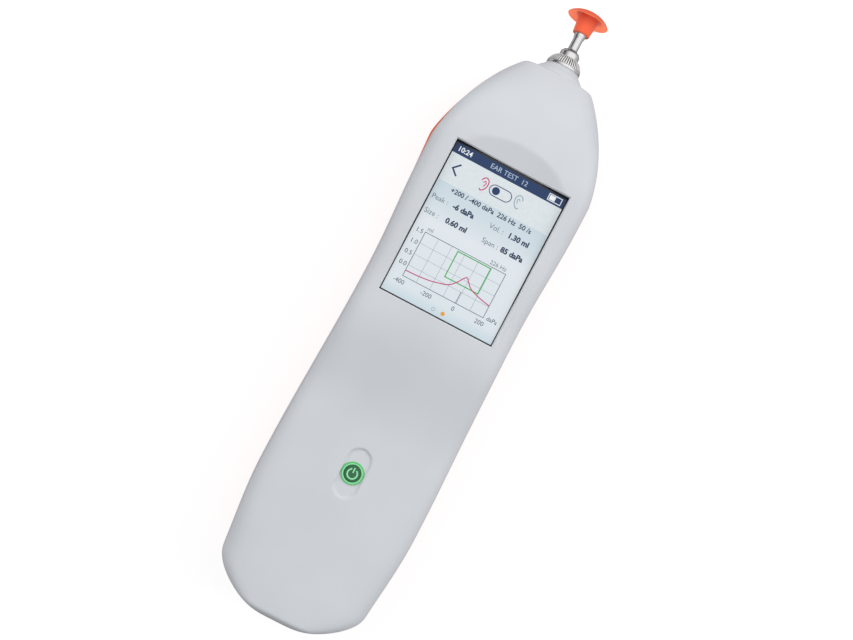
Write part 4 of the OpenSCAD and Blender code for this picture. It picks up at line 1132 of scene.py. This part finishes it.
# Boards
# Two green fibreglass boards with black chips, a tinned shield can, steel screws and an ivory pressure
# sensor. The larger one carries the works of the tester, and the small one the switch of the button.
green_mask = moulded_plastic("solder_mask", (0.02, 0.15, 0.06), 0.3, (0.22, 0.38), 1400.0)
dress(green_mask, "main_board", "button_board")
dress(moulded_plastic("chip_epoxy", (0.02, 0.02, 0.022), 0.25, (0.45, 0.6)), "board_chips")
dress(brushed_metal("plain_steel", (0.58, 0.58, 0.60), (0.28, 0.42), (400.0, 400.0, 400.0)),
      "board_screws", "radio_module", "button_switch", "pump_bracket", "pump_motor", "motor_shaft",
      "lead_screw", "receiver", "microphone")
ivory = moulded_plastic("ivory_plastic", (0.72, 0.68, 0.56), 0.05, (0.35, 0.45))
dress(ivory, "pressure_sensor", "pump_piston", "relief_valve")


# Battery
# A flat rechargeable pack in blue shrink wrap lies behind the door. Three gold-plated leaf contacts press on
# its terminals.
dress(moulded_plastic("blue_shrink_wrap", (0.03, 0.10, 0.32), 0.25, (0.15, 0.35), 300.0, 0.1), "battery_pack")
dress(gold, "battery_contacts")


# Pump
# A small syringe pump makes the pressure: two acetal gears turn the lead screw, which draws the piston with
# its rubber seal along a clear cylinder. A clear tube leads to the probe.
dress(moulded_plastic("acetal", (0.70, 0.62, 0.40), 0.05, (0.3, 0.4)), "motor_gear", "screw_gear")
dress(moulded_plastic("seal_rubber", (0.02, 0.02, 0.02), 0.2, (0.6, 0.7)), "piston_seal", "probe_seal")
clear_plastic = moulded_plastic("clear_plastic", (0.86, 0.90, 0.92), 0.02, (0.05, 0.10))
clear_plastic.node_tree.nodes["Principled BSDF"].inputs["Transmission Weight"].default_value = 0.85
dress(clear_plastic, "pump_cylinder", "pump_tube")


# Floor and light
# A pale sweep under the object and large soft lamps above it, stronger from the right where the photograph
# has its highlights. The floor glows for the camera, so it reads white and still takes the soft shadow.
floor = mesh_piece("floor", [(-2, -2, 0), (2, -2, 0), (2, 2, 0), (-2, 2, 0)], [(0, 1, 2, 3)])
floor.location.z = -0.05 * mm
sweep, tree, shader = node_material("pale_floor")
feed(tree, shader, {
    "Base Color": ramped(tree, grainy(tree, 4.0), (0.29, 0.29, 0.295), (0.31, 0.31, 0.315)),
    "Roughness": 0.9, "Specular IOR Level": 0.1
})
path = added(tree, "LightPath", {}).outputs
mirrored = added(tree, "Math", {
    0: path["Is Glossy Ray"], 1: 0.15, 2: path["Is Transmission Ray"]
}, "MULTIPLY_ADD")
level = added(tree, "Math", {0: path["Is Camera Ray"], 1: 0.79, 2: mirrored.outputs[0]}, "MULTIPLY_ADD")
glow = added(tree, "Emission", {"Strength": level.outputs[0]})
both = added(tree, "AddShader", {0: shader.outputs[0], 1: glow.outputs[0]})
feed(tree, tree.nodes["Material Output"], {"Surface": both.outputs[0]})
floor.data.materials.append(sweep)

world = bpy.data.worlds.new("studio")
bpy.context.scene.world = world
world.use_nodes = True
tree = world.node_tree
place = added(tree, "TexCoord", {}).outputs["Generated"]
upwards = added(tree, "SeparateXYZ", {0: place}).outputs["Z"]
plain_sky = feed(tree, tree.nodes["Background"], {
    "Color": ramped(tree, upwards, (0.27, 0.272, 0.275), (0.46, 0.462, 0.465), 0.0, 0.9), "Strength": 1.0
})
lean = added(tree, "VectorMath", {0: place, 1: (0.33, 0.20, 0.92)}, "DOT_PRODUCT").outputs["Value"]
mirrored_sky = added(tree, "Background", {
    "Color": ramped(tree, lean, (0.07, 0.07, 0.072), (1.0, 1.0, 1.0), 0.15, 0.85)
})
choice = added(tree, "MixShader", {
    "Fac": added(tree, "LightPath", {}).outputs["Is Glossy Ray"],
    1: plain_sky.outputs[0], 2: mirrored_sky.outputs[0]
})
feed(tree, tree.nodes["World Output"], {"Surface": choice.outputs[0]})


lamp_side, lamp_aim = 0.90, Vector((0, 0, 0.02))


def soft_lamp(name, place, power):
    """Large square lamp at a place, turned to the object and left out of its reflections."""
    lamp = bpy.data.lights.new(name, "AREA")
    lamp.shape = "RECTANGLE"
    lamp.size, lamp.size_y, lamp.energy = lamp_side, lamp_side, power
    holder = placed(name, lamp)
    holder.location = place
    holder.rotation_euler = (lamp_aim - Vector(place)).to_track_quat("-Z", "Y").to_euler()
    holder.visible_glossy = False


soft_lamp("key", (0.95, 0.48, 0.72), 11.0)
soft_lamp("fill", (-0.95, 0.42, 0.75), 9.4)
